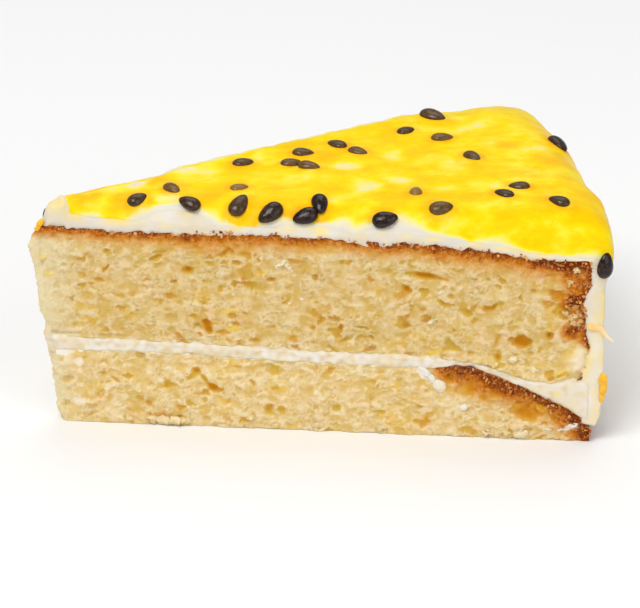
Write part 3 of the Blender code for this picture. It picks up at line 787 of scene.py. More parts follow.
def crust_lobes(reach, share, side):
    """How far the icing's cut edge hangs down over the crust, in soft uneven lobes."""
    hang = 0.2 * wander(reach + side, 17.0, 0.5)
    for place, half_width, most in FRONT_LOBES:
        hang += most * np.exp(-((reach - place) / half_width) ** 2) * (share < 0.5)
    hang += 0.7 * clouds(reach, side, 3.0, 2.4) + 0.6 * clouds(reach, side, 6.0, 1.2)
    return hang


def cut_swell(radius, height, side, up, low_side):
    """How far the icing swells out of a cut; up is 0 at its inner face and 1 at its outer one."""
    bead = 0.35 * np.sin(np.pi * up) ** 0.8
    uneven = 0.3 * clouds(radius, height, side, 2.6) * (1.0 - ease((up - 0.5) / 0.4))
    high_swell = bead + 0.6 * ease(up / 0.35) - 0.55 + uneven - 0.08 * ease((up - 0.7) / 0.3)
    low_swell = 0.1 * up - 0.4 * (1.0 - ease(up / 0.4)) + 0.1 * clouds(radius, height, side, 5.0)
    return blend(high_swell, low_swell, low_side)


def cut_stain(reach, height, side, up, nearer):
    """Curd that ran over the edge of the icing and down its cut face."""
    run_in = ease((up - 0.3) / 0.7) * (along(FRONT_STAIN, reach) + 1.1 * clouds(reach, height, side, 4.5))
    return run_in * blend(1.0, 0.5 * (1.0 - ease(nearer / 3.0)), ease((reach - SIDE_START) / 8.0))


def side_stain(reach, width, height, up):
    """Pale yellow clouds down the iced side, strongest right under the glaze."""
    under_glaze = 0.45 * ease((height - 32.0) / 9.0)
    stain = 0.05 + 0.75 * clouds(width, 0.7 * height, 7.0, 8.0) + under_glaze
    return stain * (ease((reach - SIDE_START) / 6.0) * ease(up / 0.9))


def corner_stain(radius, height, share):
    """Curd smeared over the icing's front corner at the rim."""
    centre, middle, half_width, half_height, most = CORNER_STAIN
    inside = 1.3 - np.hypot((radius - centre) / half_width, (height - middle) / half_height)
    return most * ease(inside) * (share < 0.2)


def icing_piece():
    """Shell of icing from the tip over the rim and down the side, between the sponge and its own skin."""
    facts = {}

    def place(i, j, k):
        reach = icing_reach[i]
        share = across_share(j, ICING_ACROSS)
        inner_radius, inner_height = icing_inside(reach)
        outer_radius, outer_height = on_slope(reach, share, SPREAD + palette_marks(reach, share))[1:]
        on_top = reach < ROLL_START
        outer_radius = np.where(on_top, tip_radius(outer_radius, outer_height), outer_radius)
        up = k / ICING_ROWS
        nearer = np.minimum(share, 1.0 - share) * np.maximum(reach, 5.0) * SLICE_ANGLE
        at_cut = 1.0 - ease(nearer / 2.0)
        side = back_shift(share, 50.0)
        drop = (INNER_LAP + crust_lobes(reach, share, side)) * at_cut * ease((LOBES_END - reach) / 5.0)
        low_side = ease((17.0 - inner_height) / 3.0)
        inner_height = inner_height - drop
        lapped = inner_radius - INNER_LAP * at_cut
        inner_radius = np.where(on_top, tip_radius(inner_radius, inner_height), lapped)
        inner_radius = inner_radius - 0.6 * low_side
        radius = blend(inner_radius, outer_radius, up)
        height = blend(inner_height, outer_height, up)
        points = tip_bulge(world(radius, SLICE_ANGLE * share, height), radius, height, i, share)
        swell = cut_swell(radius, height, side, up, low_side)
        fade = 1.0 - ease(nearer / (0.2 + 2.0 * up))
        points += cut_out(share) * (fade * swell)[:, None] / 1000
        stain = np.maximum(cut_stain(reach, height, side, up, nearer), corner_stain(radius, height, share))
        stain = np.maximum(stain, side_stain(reach, radius * SLICE_ANGLE * share, outer_height, up))
        facts["stain"] = np.clip(stain, 0.0, 1.0)
        # Partly painted shade: the icing's cut face is made darker and crumb-coloured low down by the crust,
        # partly for crumbs rubbed in by the knife and partly as shade.
        crumbs_and_shade_share = 0.55 - 1.8 * up + 0.7 * clouds(reach, height, side, 1.6)
        facts["crumbs_and_shade"] = np.clip(crumbs_and_shade_share, 0.0, 1.0) * at_cut * on_top
        return points

    points, faces = skin_of_cells((len(icing_reach) - 1, ICING_ACROSS, ICING_ROWS), place)
    return piece_of("icing_cream", points, faces, facts)


icing_cream = icing_piece()
icing_cream.data.materials.append(whipped)
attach(icing_cream, "root")
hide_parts("icing")

# Passion fruit glaze: strained curd poured over the icing while loose. It lies thin and pale where it ran off
# a high spot, deep gold where it pooled, and orange round the seeds that stand in it. Some of its pale
# patches are painted sheen.
GLAZE_LIFT = 1.2
GLAZE_STEP = 0.55
GLAZE_ACROSS = 132
GLAZE_END = 119.3
END_WAVE = 1.2
DRIP_LENGTH = 6.5
DRIP_WIDTH = 7.0
START_FRONT = 6.7
START_BACK = 6.9
FRONT_BARE = [(3, 0.8), (7, -0.3), (10, -0.8), (14, -0.5), (19, 0.0), (22, 0.4), (26, 1.8), (30, 2.8),
              (34, 2.4), (37, 0.9), (40, 0.2), (47, 0.2), (50, 0.8), (60, 1.3), (65, 1.2), (67.5, 0.1),
              (70, 1.2), (76, 1.4), (82, 0.6), (90, 0.3), (122, 0.3)]
BACK_BARE = 0.1
POOL_WIDTH = 3.0
SEED_POOL_HALF = 1.75
SEED_POOL_RISE = 0.3
# Each seed: radius, angle in degrees, way its point faces in degrees, length, and how veiled it is.
SEEDS = [
    (22.2, 7.3, 18, 4.4, 0.15), (29.7, 15.5, -66, 4.6, 0.5),
    (33.0, 4.5, 138, 4.9, 0.1), (47.6, 28.6, 13, 4.8, 0.25), (43.5, 12.6, 9, 4.0, 0.85),
    (43.2, 3.7, 49, 5.6, 0.15), (49.7, 1.9, -155, 5.9, 0.05), (56.9, 1.5, -176, 5.4, 0.0),
    (59.8, 3.8, -96, 5.2, 0.0), (61.4, 28.7, -21, 4.8, 0.3), (57.0, 24.6, 0, 4.6, 0.4),
    (60.1, 22.0, -33, 4.8, 0.45), (69.8, 29.8, 131, 4.7, 0.25), (72.4, 25.5, -45, 4.6, 0.4),
    (73.3, 1.1, -5, 5.4, 0.0), (95.7, 33.4, -51, 6.4, 0.25), (86.5, 30.3, 24, 4.4, 0.2),
    (92.0, 26.1, -2, 4.9, 0.5), (94.7, 18.9, -68, 4.7, 0.3), (79.7, 7.7, 72, 4.2, 0.85),
    (84.7, 2.9, 0, 5.1, 0.35), (97.8, 6.6, 130, 4.6, 0.15), (101.3, 8.8, 163, 4.6, 0.25),
    (108.7, 4.6, 143, 4.6, 0.15), (114.7, 22.3, -72, 6.0, 0.05),
]
# Thin places of the glaze, paler as thinner glaze and as painted sheen, and amber places: radius, angle in
# degrees, half width in millimetres, and how much.
THIN_AND_SHEEN_PLACES = [(23.5, 25, 3, 0.45), (28.5, 8, 4, 0.7), (38, 29, 5, 0.6), (50, 31, 4, 0.5),
               (53, 18, 6, 0.45), (60, 23, 4, 0.7), (70, 12, 5, 0.75), (68, 21, 4, 0.75), (79, 23, 4, 0.6),
               (77, 13, 4, 0.7), (90, 17, 4, 0.6), (95, 9, 4, 0.35), (104, 29, 5, 0.12), (112, 27, 5, 0.12),
               (86, 10, 3, 0.4)]
AMBER_PLACES = [(12, 18, 4, 0.9), (15, 30, 3, 0.9), (19, 9, 3, 0.7), (27, 29, 3.5, 0.8), (30, 20, 4, 0.7),
                (38, 7, 4, 0.4), (45, 3, 4, 0.6), (54, 3, 5, 0.5), (66, 26, 5, 0.5), (60, 31, 4, 0.4),
                (91, 34, 5, 0.5), (94, 18, 4, 0.6), (112, 17, 6, 0.6), (107, 6, 5, 0.5), (116, 8, 5, 0.5),
                (118, 22, 5, 0.5), (102, 22, 5, 0.4), (98, 4, 4, 0.35), (122, 7, 5, 0.7), (122, 16, 6, 0.6),
                (122, 28, 6, 0.6), (104, 13, 5, 0.4)]
glaze_reach = even_steps(2.0, GLAZE_END + END_WAVE + DRIP_LENGTH + 1.0, GLAZE_STEP)


def glaze_inside(reach, share):
    """Distance in from the glaze's uneven edge, in millimetres; below zero the icing is bare."""
    width = on_icing(reach)[0] * SLICE_ANGLE
    turn = np.degrees(SLICE_ANGLE) * share
    end = GLAZE_END + END_WAVE * np.sin(np.radians(turn * 18.0 + 40.0)) \
        + DRIP_LENGTH * (1.0 - ease(turn / DRIP_WIDTH))
    edges = np.stack([width * share - along(FRONT_BARE, reach), width * (1.0 - share) - BACK_BARE,
                      reach - blend(START_FRONT, START_BACK, ease(share)), end - reach])
    wave = 0.4 * clouds(reach, width * share, 11.0, 5.5) + 0.15 * clouds(reach, width * share, 13.0, 2.4)
    return edges.min(axis=0) + 0.5 + wave * ease((reach - 8.0) / 8.0)


def glaze_cover(reach, share):
    """Thickness of the glaze in millimetres, below zero where the icing is bare, and how far it hides it."""
    across = on_icing(reach)[0] * SLICE_ANGLE * share
    inside = glaze_inside(reach, share)
    swirl = 0.22 * clouds(reach, across, 5.0, 9.0) + 0.1 * clouds(reach, across, 8.0, 4.0)
    full = GLAZE_LIFT - SPREAD + swirl
    slope = 2.4 + 3.0 * clouds(reach, across, 31.0, 8.0) - 1.2 * ease((reach - 75.0) / 15.0)
    slope -= 1.6 * np.exp(-((reach - 13.0) / 7.0) ** 2)
    slope = np.clip(slope, 0.9, 5.0)
    thick = full * (0.14 * ease(inside / 0.3) + 0.86 * ease(inside / POOL_WIDTH))
    return np.where(inside > 0, thick, inside * 1.6), ease(inside / slope)


def seed_halo(reach, share):
    """Nearness to a seed, from 0 to 1, which lifts the glaze and deepens its colour."""
    radius = on_icing(reach)[0]
    near = np.zeros_like(reach)
    for seed_radius, degrees, facing, length, veil in SEEDS:
        over = reach - seed_radius
        side = radius * (SLICE_ANGLE * share - math.radians(degrees))
        aim = math.radians(facing)
        length_way = (over * math.cos(aim) + side * math.sin(aim)) / (length / 2)
        width_way = (side * math.cos(aim) - over * math.sin(aim)) / SEED_POOL_HALF
        near = np.maximum(near, np.clip(2.0 - np.hypot(length_way, width_way), 0.0, 1.0))
    return ease(near)


def around(places, reach, share):
    """Nearness, from 0 to 1, to the listed places of the glaze."""
    radius = on_icing(reach)[0]
    near = np.zeros_like(reach)
    for place, degrees, half, amount in places:
        over = (reach - place) / half
        side = radius * (SLICE_ANGLE * share - math.radians(degrees)) / (half * 0.8)
        near = np.maximum(near, amount * ease(1.3 - np.hypot(over, side)))
    return near


def sheet_faces(kept):
    """Faces of a closed sheet over the kept cells of a grid: its top, its underside and its walls."""
    rows, columns = kept.shape
    under = (rows + 1) * (columns + 1)
    index = np.arange(under).reshape(rows + 1, columns + 1)
    ring = np.stack([index[:-1, :-1], index[1:, :-1], index[1:, 1:], index[:-1, 1:]], axis=-1)
    faces = [ring[kept], ring[kept][:, ::-1] + under]
    padded = np.pad(kept, 1)
    sides = [((0, -1), (0, 1)), ((1, 0), (1, 2)), ((0, 1), (2, 3)), ((-1, 0), (3, 0))]
    for (down, over), (first, last) in sides:
        neighbour = padded[1 + down:1 + down + rows, 1 + over:1 + over + columns]
        edge = ring[kept & ~neighbour]
        wall = [edge[:, last], edge[:, first], edge[:, first] + under, edge[:, last] + under]
        faces.append(np.stack(wall, axis=-1))
    return np.concatenate(faces)


def glaze_piece():
    """Skin of the glaze over the cells where it covers the icing."""
    grid = (len(glaze_reach), GLAZE_ACROSS + 1)
    rows, columns = np.meshgrid(np.arange(grid[0]), np.arange(grid[1]), indexing="ij")
    reach = glaze_reach[rows.ravel()]
    share = across_share(columns.ravel(), GLAZE_ACROSS)
    thick, cover = glaze_cover(reach, share)
    halo = seed_halo(reach, share)
    # Paler places: partly thinner glaze and partly painted sheen of the lights.
    thin_and_sheen = around(THIN_AND_SHEEN_PLACES, reach, share)
    amber = around(AMBER_PLACES, reach, share)
    ground = SPREAD + palette_marks(reach, share) * (1.0 - 0.6 * ease(thick / 0.8))
    lift = ground + thick * (1.0 - 0.45 * thin_and_sheen) + SEED_POOL_RISE * halo * (thick > 0.2)
    over = on_slope(reach, share, lift)[0]
    under = on_slope(reach, share, ground + np.minimum(-0.5, thick - 0.4))[0]
    corner_thick = thick.reshape(grid)
    corner_thick = np.maximum(corner_thick[:-1], corner_thick[1:])
    corner_thick = np.maximum(corner_thick[:, :-1], corner_thick[:, 1:])
    faces = sheet_faces(corner_thick > -0.25)
    used, packed = np.unique(faces, return_inverse=True)
    points = np.concatenate([over, under])[used]
    gold = np.clip(1.25 * cover, 0.0, 1.0) - thin_and_sheen + 0.25 * ease((reach - 108.0) / 8.0) * cover
    facts = {name: np.concatenate([values, values])[used]
             for name, values in (("gold", gold), ("halo", halo), ("amber", amber))}
    return piece_of("passion_glaze", points, packed.reshape(-1, 4), facts)


def glaze_finish():
    """Set curd: glossy, deep yellow, paler where thin and where sheen is painted, with soft orange clouds of
    pulp.
    """
    finish, tree, shader = new_finish("passion_curd", Roughness=0.3, Specular_IOR_Level=0.05,
                                      Subsurface_Weight=0.2, Subsurface_Scale=0.0012,
                                      Subsurface_Radius=(1.0, 0.7, 0.12))
    place = object_place(tree)
    streaks = vector_calc(tree, "MULTIPLY", place, (0.7, 1.0, 1.0))
    cloud = swing(tree, streaks, 5.0, 4.0, 0.6)
    drift = swing(tree, streaks, 15.0)
    swirl = plus(tree, times(tree, cloud, 2.6), times(tree, drift, 1.4))
    swirl = times(tree, swirl, level(tree, named(tree, "gold"), 0.0, 0.6))
    depth = times(tree, plus(tree, named(tree, "gold"), swirl), 0.7)
    base = ramp(tree, depth, [(0.0, paint(226, 219, 203)), (0.2, paint(242, 226, 140)),
                              (0.4, paint(250, 227, 62)), (0.66, paint(249, 214, 10)),
                              (1.0, paint(246, 198, 2))])
    near = times(tree, named(tree, "halo"), level(tree, cloud, -0.15, 0.2, 0.45, 1.0))
    pooled = times(tree, named(tree, "amber"), level(tree, cloud, -0.2, 0.2, 0.35, 1.0))
    warm = times(tree, calc(tree, "MAXIMUM", near, pooled), level(tree, depth, 0.05, 0.4))
    base = mixed(tree, warm, base, paint(247, 174, 12))
    tree.links.new(base, shader.inputs["Base Color"])
    bumped(tree, shader, soft_noise(tree, place, 3.0, 3.0, 0.5), 0.35, 0.5)
    return finish


passion_glaze = glaze_piece()
passion_glaze.data.materials.append(glaze_finish())
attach(passion_glaze, "root")
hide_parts("passion_topping")

# Seeds: whole passion fruit seeds, flat drops with a hard dark shell, left in the curd. Some stand
# clear and glossy, and some lie under a film of curd that turns them brown or grey.
SEED_SLIMNESS = 0.65
SEED_FLATNESS = 0.42
SEED_POINT = 0.24
SEED_LIFT = 1.45
# Two seeds are pressed into the cream at a corner: radius, angle and height, the way it lies, the way its
# flat side faces in degrees from the front cut, and its length. One is at the tip and one on the rim.
STUCK_SEEDS = [((4.9, math.radians(46.5), 45.7), (-0.34, 0.0, -0.94), 180.0, 3.9),
               ((118.6, math.radians(-0.2), 40.6), (0.12, 0.1, 0.98), 35.0, 5.6)]


def seed_finish():
    """Hard shell, nearly black with a brown mottle; veiled seeds are browner under their film of curd."""
    finish, tree, shader = new_finish("seed_shell", Roughness=0.15, Specular_IOR_Level=0.32)
    place = object_place(tree)
    mottle = soft_noise(tree, place, 0.8, 3.0, 0.6)
    shell = mixed(tree, level(tree, mottle, 0.4, 0.72), paint(18, 10, 10), paint(64, 40, 34))
    veil = times(tree, named(tree, "veil"), level(tree, mottle, 0.2, 0.7, 0.6, 1.1))
    shell = mixed(tree, veil, shell, paint(150, 112, 50))
    tree.links.new(shell, shader.inputs["Base Color"])
    bumped(tree, shader, soft_noise(tree, place, 0.7, 2.0, 0.5), 0.12, 0.6)
    return finish


def seed_tree(finish):
    """A drop-shaped seed on each point, turned and sized as the point says."""
    tree, sizes = new_tree("fruit_seeds", {"Width": SEED_SLIMNESS, "Depth": SEED_FLATNESS,
                                           "Point": SEED_POINT})
    ball = add(tree, "GeometryNodeMeshUVSphere", {"Segments": 22, "Rings": 14, "Radius": 1.0})
    flat_way, wide_way, long_way = split(tree, spot_in_metres(tree))
    narrow = calc(tree, "SUBTRACT", 1.0, times(tree, sizes.outputs["Point"], long_way))
    wide = times(tree, wide_way, narrow, sizes.outputs["Width"])
    deep = times(tree, flat_way, narrow, sizes.outputs["Depth"], -1.0)
    drop = add(tree, "ShaderNodeCombineXYZ", {0: long_way, 1: wide, 2: deep})
    shaped = add(tree, "GeometryNodeSetPosition", {0: ball.outputs[0], "Position": drop.outputs[0]})
    smooth = add(tree, "GeometryNodeSetShadeSmooth", {0: shaped.outputs[0]})
    half = times(tree, named(tree, "length"), 0.0005)
    scattered = add(tree, "GeometryNodeInstanceOnPoints", {
        0: sizes.outputs[0], "Instance": smooth.outputs[0],
        "Rotation": named(tree, "turn", "FLOAT_VECTOR"), "Scale": half})
    end_tree(tree, scattered.outputs[0], finish)
    return tree


def lying(length_way, normal):
    """Turn of a bit that lies with its length one way and its flat side facing another."""
    return Matrix((length_way, normal.cross(length_way), normal)).transposed().to_euler()


def seat(reach, share):
    """Place of a seed's middle on the slope of the glaze."""
    return Vector(on_slope(np.array(reach), np.array(share), SEED_LIFT)[0])


def seed_points():
    """One point for each seed, with the way it is turned."""
    spots, turns, lengths, veils = [], [], [], []
    for radius, degrees, facing, length, veil in SEEDS:
        share = degrees / math.degrees(SLICE_ANGLE)
        outward = seat(radius + 0.5, share) - seat(radius - 0.5, share)
        nudge = 0.5 / radius / SLICE_ANGLE
        sideways = seat(radius, share + nudge) - seat(radius, share - nudge)
        normal = outward.cross(sideways).normalized()
        aim = math.radians(facing) - (math.radians(degrees) - SLICE_ANGLE / 2)
        length_way = outward.normalized() * math.cos(aim) + sideways.normalized() * math.sin(aim)
        length_way = (length_way - normal * length_way.dot(normal)).normalized()
        spots.append(seat(radius, share))
        turns.append(lying(length_way, normal))
        lengths.append(length)
        veils.append(veil)
    for spot, way, facing, length in STUCK_SEEDS:
        length_way = Vector(way).normalized()
        turn = math.radians(facing) - SLICE_ANGLE / 2
        normal = Vector((math.sin(turn), -math.cos(turn), 0.0))
        normal = (normal - length_way * normal.dot(length_way)).normalized()
        spots.append(Vector(world(*spot)))
        turns.append(lying(length_way, normal))
        lengths.append(length)
        veils.append(0.0)
    facts = {"turn": np.array(turns), "length": np.array(lengths), "veil": np.array(veils)}
    return piece_of("fruit_seeds", np.array(spots), np.zeros((0, 3), int), facts)


fruit_seeds = grown(seed_points(), seed_tree(seed_finish()), {})
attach(fruit_seeds, "root")
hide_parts("passion_topping")

# Loose crumbs: bits of crumb that the knife tore off and left lying on the front cut face, paler than
# the rest. Each is a small rough lump, pressed a little into the face behind it.
# Each crumb: radius, angle in degrees, height, length, width, tilt in degrees, and paleness.
CRUMBS = [
    (51.9, 0, 38.2, 3.0, 0.8, 38, 1.0), (53.6, 0, 37.6, 2.8, 0.7, -52, 1.0),
    (85.2, 0, 33.0, 1.6, 1.0, 30, 0.5), (100.4, 0, 18.3, 1.7, 1.6, 12, 0.7),
    (101.9, 0, 18.7, 1.5, 1.2, -30, 0.5), (104.6, 0, 16.4, 1.6, 1.3, -60, 0.9),
    (83.4, 0, 26.4, 2.4, 0.6, 28, 0.7), (111.4, 0, 36.2, 2.0, 1.3, 60, 0.0),
    (113.4, 0, 29.4, 1.8, 1.5, 20, -0.6), (111.8, 0, 28.4, 1.6, 1.3, -30, -0.3),
    (112.6, 0, 30.5, 1.5, 1.2, 50, -0.7), (110.6, 0, 29.4, 1.3, 1.0, 0, -0.2),
    (113.8, 0, 27.6, 1.6, 1.2, 60, -0.5), (112.4, 0, 27.1, 1.4, 1.1, 10, -0.4),
    (114.5, 0, 30.7, 1.3, 1.0, -20, -0.8), (111.2, 0, 30.9, 1.1, 0.9, 30, -0.2),
    (110.8, 0, 27.6, 1.2, 1.0, -50, -0.2), (114.7, 0, 28.8, 1.3, 1.0, 0, -0.7),
    (112.6, 0, 28.9, 1.2, 1.0, 80, -0.1), (112.9, 0, 39.2, 1.4, 1.2, 0, 0.3),
    (24.6, -0.2, 1.3, 2.8, 1.6, 4, 0.2), (27.0, -0.5, 1.2, 3.2, 1.6, -5, 0.5),
    (29.4, -0.7, 1.2, 3.0, 1.6, 8, 0.4), (31.6, -0.3, 1.2, 2.4, 1.5, -4, 0.3),
    (95.4, -0.1, 1.3, 2.6, 1.4, 0, 0.4), (98.8, -0.1, 1.4, 2.2, 1.3, -10, 0.3),
    (102.2, -0.2, 1.4, 3.2, 1.7, 6, 0.6), (107.6, 0, 2.4, 2.0, 1.4, 20, 0.6),
    (59.6, -0.1, 1.4, 2.6, 1.3, 10, 0.1), (19.4, -0.2, 1.3, 2.2, 1.3, 0, 0.1),
    (73.0, -0.1, 1.4, 2.6, 1.3, -6, 0.1), (45.6, 0, 2.4, 2.0, 1.1, -14, 0.3),
]
CRUMB_ROUGHNESS = 1.1


def crumb_bits_finish():
    """Pale crumb; bits that broke off beside the crust, with a paleness below zero, are toasted."""
    finish, tree, shader = new_finish("loose_crumb", Roughness=0.9, Specular_IOR_Level=0.0)
    shade = level(tree, soft_noise(tree, object_place(tree), 1.2, 2.0), 0.35, 0.65)
    base = mixed(tree, shade, paint(236, 214, 162), paint(220, 188, 118))
    base = mixed(tree, level(tree, named(tree, "pale"), 0.0, 1.0), base, paint(246, 231, 194))
    base = mixed(tree, level(tree, named(tree, "pale"), -1.0, 0.0, 1.0, 0.0), base, paint(198, 128, 54))
    tree.links.new(base, shader.inputs["Base Color"])
    return finish


def lump_tree(name, roughness, finish):
    """A rough rounded lump on each point, turned and sized as the point says."""
    tree, sizes = new_tree(name, {"Roughness": roughness})
    ball = add(tree, "GeometryNodeMeshIcoSphere", {"Radius": 1.0, "Subdivisions": 3})
    scattered = add(tree, "GeometryNodeInstanceOnPoints", {
        0: sizes.outputs[0], "Instance": ball.outputs[0], "Rotation": named(tree, "turn", "FLOAT_VECTOR"),
        "Scale": named(tree, "size", "FLOAT_VECTOR")})
    real = add(tree, "GeometryNodeRealizeInstances", {0: scattered.outputs[0]})
    drift = straying(tree, object_place(tree), 0.9, 0.65)
    move = vector_calc(tree, "SCALE", drift, times(tree, sizes.outputs["Roughness"], 0.002))
    moved = add(tree, "GeometryNodeSetPosition", {0: real.outputs[0], "Offset": move})
    smooth = add(tree, "GeometryNodeSetShadeSmooth", {0: moved.outputs[0]})
    end_tree(tree, smooth.outputs[0], finish)
    return tree


def on_cut(name, lumps, stand, flatness):
    """Points at the front cut, each with the way its lump lies in the face and its half sizes."""
    spots, turns, half_sizes, pales = [], [], [], []
    out = Vector(cut_out(np.array(0.0)))
    upward = Vector((0.0, 0.0, 1.0))
    along_cut = upward.cross(out)
    for radius, degrees, height, length, width, tilt, paleness in lumps:
        aim = math.radians(tilt)
        length_way = along_cut * math.cos(aim) + upward * math.sin(aim)
        turns.append(lying(length_way, out))
        spots.append(Vector(world(radius, math.radians(degrees), height)) + out * stand / 1000)
        half_sizes.append((length / 2000, width / 2000, width * flatness / 2000))
        pales.append(paleness)
    facts = {"turn": np.array(turns), "size": np.array(half_sizes), "pale": np.array(pales)}
    return piece_of(name, np.array(spots), np.zeros((0, 3), int), facts)


loose_crumbs = grown(on_cut("loose_crumbs", CRUMBS, -0.1, 0.6),
                     lump_tree("loose_crumbs", CRUMB_ROUGHNESS, crumb_bits_finish()), {})
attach(loose_crumbs, "root")
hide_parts("upper_sponge", "lower_sponge")

# Crust grains: browned crumbs that the knife broke off the crust and rubbed along both cuts. They stick in
# the edge of the crust and in the cream beside it, some dark brown and some showing their pale inside.
TORN_LEAST = 0.3
GRAIN_FLOOR = 0.0008
GRAIN_CLEAR = 0.0014
FULL_TURN = 6.28


def crusted_faces(name, layers):
    """Some layers' torn skins as one mesh, with what they keep about their crust and tearing."""
    points, faces, crust, tear = [], [], [], []
    for layer in layers:
        mesh = layer.data
        start = sum(len(part) for part in points)
        places = np.empty(len(mesh.vertices) * 3)
        mesh.vertices.foreach_get("co", places)
        corners = np.empty(len(mesh.loops), int)
        mesh.loops.foreach_get("vertex_index", corners)
        baked = np.empty(len(mesh.vertices))
        mesh.attributes["crust"].data.foreach_get("value", baked)
        torn = np.empty(len(mesh.vertices) * 3)
        mesh.attributes["tear"].data.foreach_get("vector", torn)
        points.append(places.reshape(-1, 3))
        faces.append(corners.reshape(-1, 4) + start)
        crust.append(baked)
        tear.append(torn.reshape(-1, 3))
    return piece_of(name, np.concatenate(points), np.concatenate(faces),
                    {"crust": np.concatenate(crust), "tear": np.concatenate(tear)})


def chance(tree, low, high, seed, kind="FLOAT"):
    """A random value for each point, the same on every run."""
    first, output = (2, 1) if kind == "FLOAT" else (0, 0)
    feeds = {first: low, first + 1: high, "Seed": seed}
    return add(tree, "FunctionNodeRandomValue", feeds, data_type=kind).outputs[output]


def grain_finish():
    """Browned crumb, from dark brown to the pale inside of a broken grain."""
    finish, tree, shader = new_finish("crust_grain", Roughness=0.8, Specular_IOR_Level=0.1)
    base = ramp(tree, named(tree, "shade"), [(0.0, paint(134, 66, 28)), (0.4, paint(178, 104, 44)),
                                             (0.8, paint(216, 148, 74)), (1.0, paint(228, 176, 118))])
    tree.links.new(base, shader.inputs["Base Color"])
    return finish


def grain_tree(finish):
    """Grains strewn over the torn faces where they are browned."""
    tree, sizes = new_tree("crust_grains", {"Grains per mm2": 2.4, "Least Size": 0.12, "Largest Size": 0.42,
                                            "Crust Reach": 1.3, "Lift": 0.4})
    torn = add(tree, "ShaderNodeVectorMath", {0: named(tree, "tear", "FLOAT_VECTOR")}, operation="LENGTH")
    near = level(tree, named(tree, "crust"), 0.0, sizes.outputs["Crust Reach"], 1.0, 0.0)
    on_cut_face = calc(tree, "GREATER_THAN", torn.outputs["Value"], TORN_LEAST)
    off_floor = level(tree, split(tree, spot_in_metres(tree))[2], GRAIN_FLOOR, GRAIN_CLEAR)
    density = times(tree, near, on_cut_face, off_floor, sizes.outputs["Grains per mm2"], 1000000.0)
    feeds = {0: sizes.outputs[0], "Density": density, "Seed": 7}
    strewn = add(tree, "GeometryNodeDistributePointsOnFaces", feeds)
    out = times(tree, chance(tree, -0.2, 1.0, 1), times(tree, sizes.outputs["Lift"], 0.001))
    move = vector_calc(tree, "SCALE", named(tree, "tear", "FLOAT_VECTOR"), out)
    strayed = chance(tree, (-0.0003, -0.0003, -0.0004), (0.0003, 0.0003, 0.0002), 2, "FLOAT_VECTOR")
    move = vector_calc(tree, "ADD", move, strayed)
    moved = add(tree, "GeometryNodeSetPosition", {0: strewn.outputs["Points"], "Offset": move})
    feeds = {0: moved.outputs[0], "Name": "shade", "Value": chance(tree, 0.0, 1.0, 3)}
    shaded = add(tree, "GeometryNodeStoreNamedAttribute", feeds, data_type="FLOAT")
    size = chance(tree, 0.0, 1.0, 4)
    size = level(tree, times(tree, size, size), 0.0, 1.0, sizes.outputs["Least Size"],
                 sizes.outputs["Largest Size"])
    shape = chance(tree, (0.7, 0.6, 0.4), (1.6, 1.0, 0.8), 5, "FLOAT_VECTOR")
    grain = add(tree, "GeometryNodeMeshIcoSphere", {"Radius": 0.001, "Subdivisions": 2})
    scattered = add(tree, "GeometryNodeInstanceOnPoints", {
        0: shaded.outputs[0], "Instance": grain.outputs[0],
        "Rotation": chance(tree, (0.0, 0.0, 0.0), (FULL_TURN, FULL_TURN, FULL_TURN), 6, "FLOAT_VECTOR"),
        "Scale": vector_calc(tree, "SCALE", shape, size)})
    smooth = add(tree, "GeometryNodeSetShadeSmooth", {0: scattered.outputs[0]})
    end_tree(tree, smooth.outputs[0], finish)
    return tree


crust_grains = grown(crusted_faces("crust_grains", [upper_crumb, lower_crumb]),
                     grain_tree(grain_finish()), {})
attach(crust_grains, "root")
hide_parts("upper_sponge", "lower_sponge")

# Cream blobs: dabs of the filling that the knife dragged out over the lower crumb, below the wedge and at
# the foot of the rim. They are the same whipped cream, pressed a little into the crumb.
# They are listed as the loose crumbs are; the paleness is 0, because the cream has one colour.
CREAM_BLOBS = [(81.9, 0, 14.8, 3.4, 2.0, -50, 0), (83.3, 0, 13.2, 2.4, 1.6, -60, 0),
               (85.0, 0, 11.7, 3.2, 2.8, -40, 0), (90.2, 0, 6.8, 1.8, 1.4, 40, 0),
               (112.6, 0, 3.6, 3.4, 1.2, 14, 0), (110.6, 0, 2.8, 1.8, 1.0, 30, 0)]
cream_blobs = grown(on_cut("cream_blobs", CREAM_BLOBS, -0.1, 0.5), lump_tree("cream_blobs", 0.5, whipped), {})
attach(cream_blobs, "root")
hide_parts("cream_filling")

# Curd drops: a drop of curd caught under the tip, one that ran down the icing's side, and a curl of
# it drawn out by the knife. They are the same curd as the glaze, thicker and so more orange.
# They are listed as the loose crumbs are.
CURD_DROPS = [(2.2, 0, 45.6, 2.2, 1.3, 58, 0.0), (1.6, 0, 44.4, 1.5, 1.1, 50, 0.0),
              (118.9, 0, 14.6, 3.0, 1.9, 84, 0.0), (119.0, 0, 12.8, 3.8, 1.7, 88, 0.0),
              (118.8, 0, 10.8, 3.0, 1.2, 86, 0.1)]
# The curl leaves the icing's front edge, bends over its corner and hangs free: place, radius, height, width.
CURL = [(0.0, 115.9, 26.7, 1.7), (2.2, 118.0, 26.4, 1.3), (4.3, 119.2, 24.8, 0.9), (6.0, 120.2, 23.8, 0.5)]
CURL_DROPS = 18


def curd_drop_finish():
    """Curd, orange-yellow where it is thick and nearly white at the thin end of the curl."""
    finish, tree, shader = new_finish("curd_drop", Roughness=0.25, Specular_IOR_Level=0.2)
    shade = level(tree, soft_noise(tree, object_place(tree), 1.6, 2.0), 0.35, 0.65)
    base = mixed(tree, shade, paint(246, 180, 34), paint(248, 200, 74))
    base = mixed(tree, named(tree, "pale"), base, paint(248, 232, 200))
    tree.links.new(base, shader.inputs["Base Color"])
    return finish


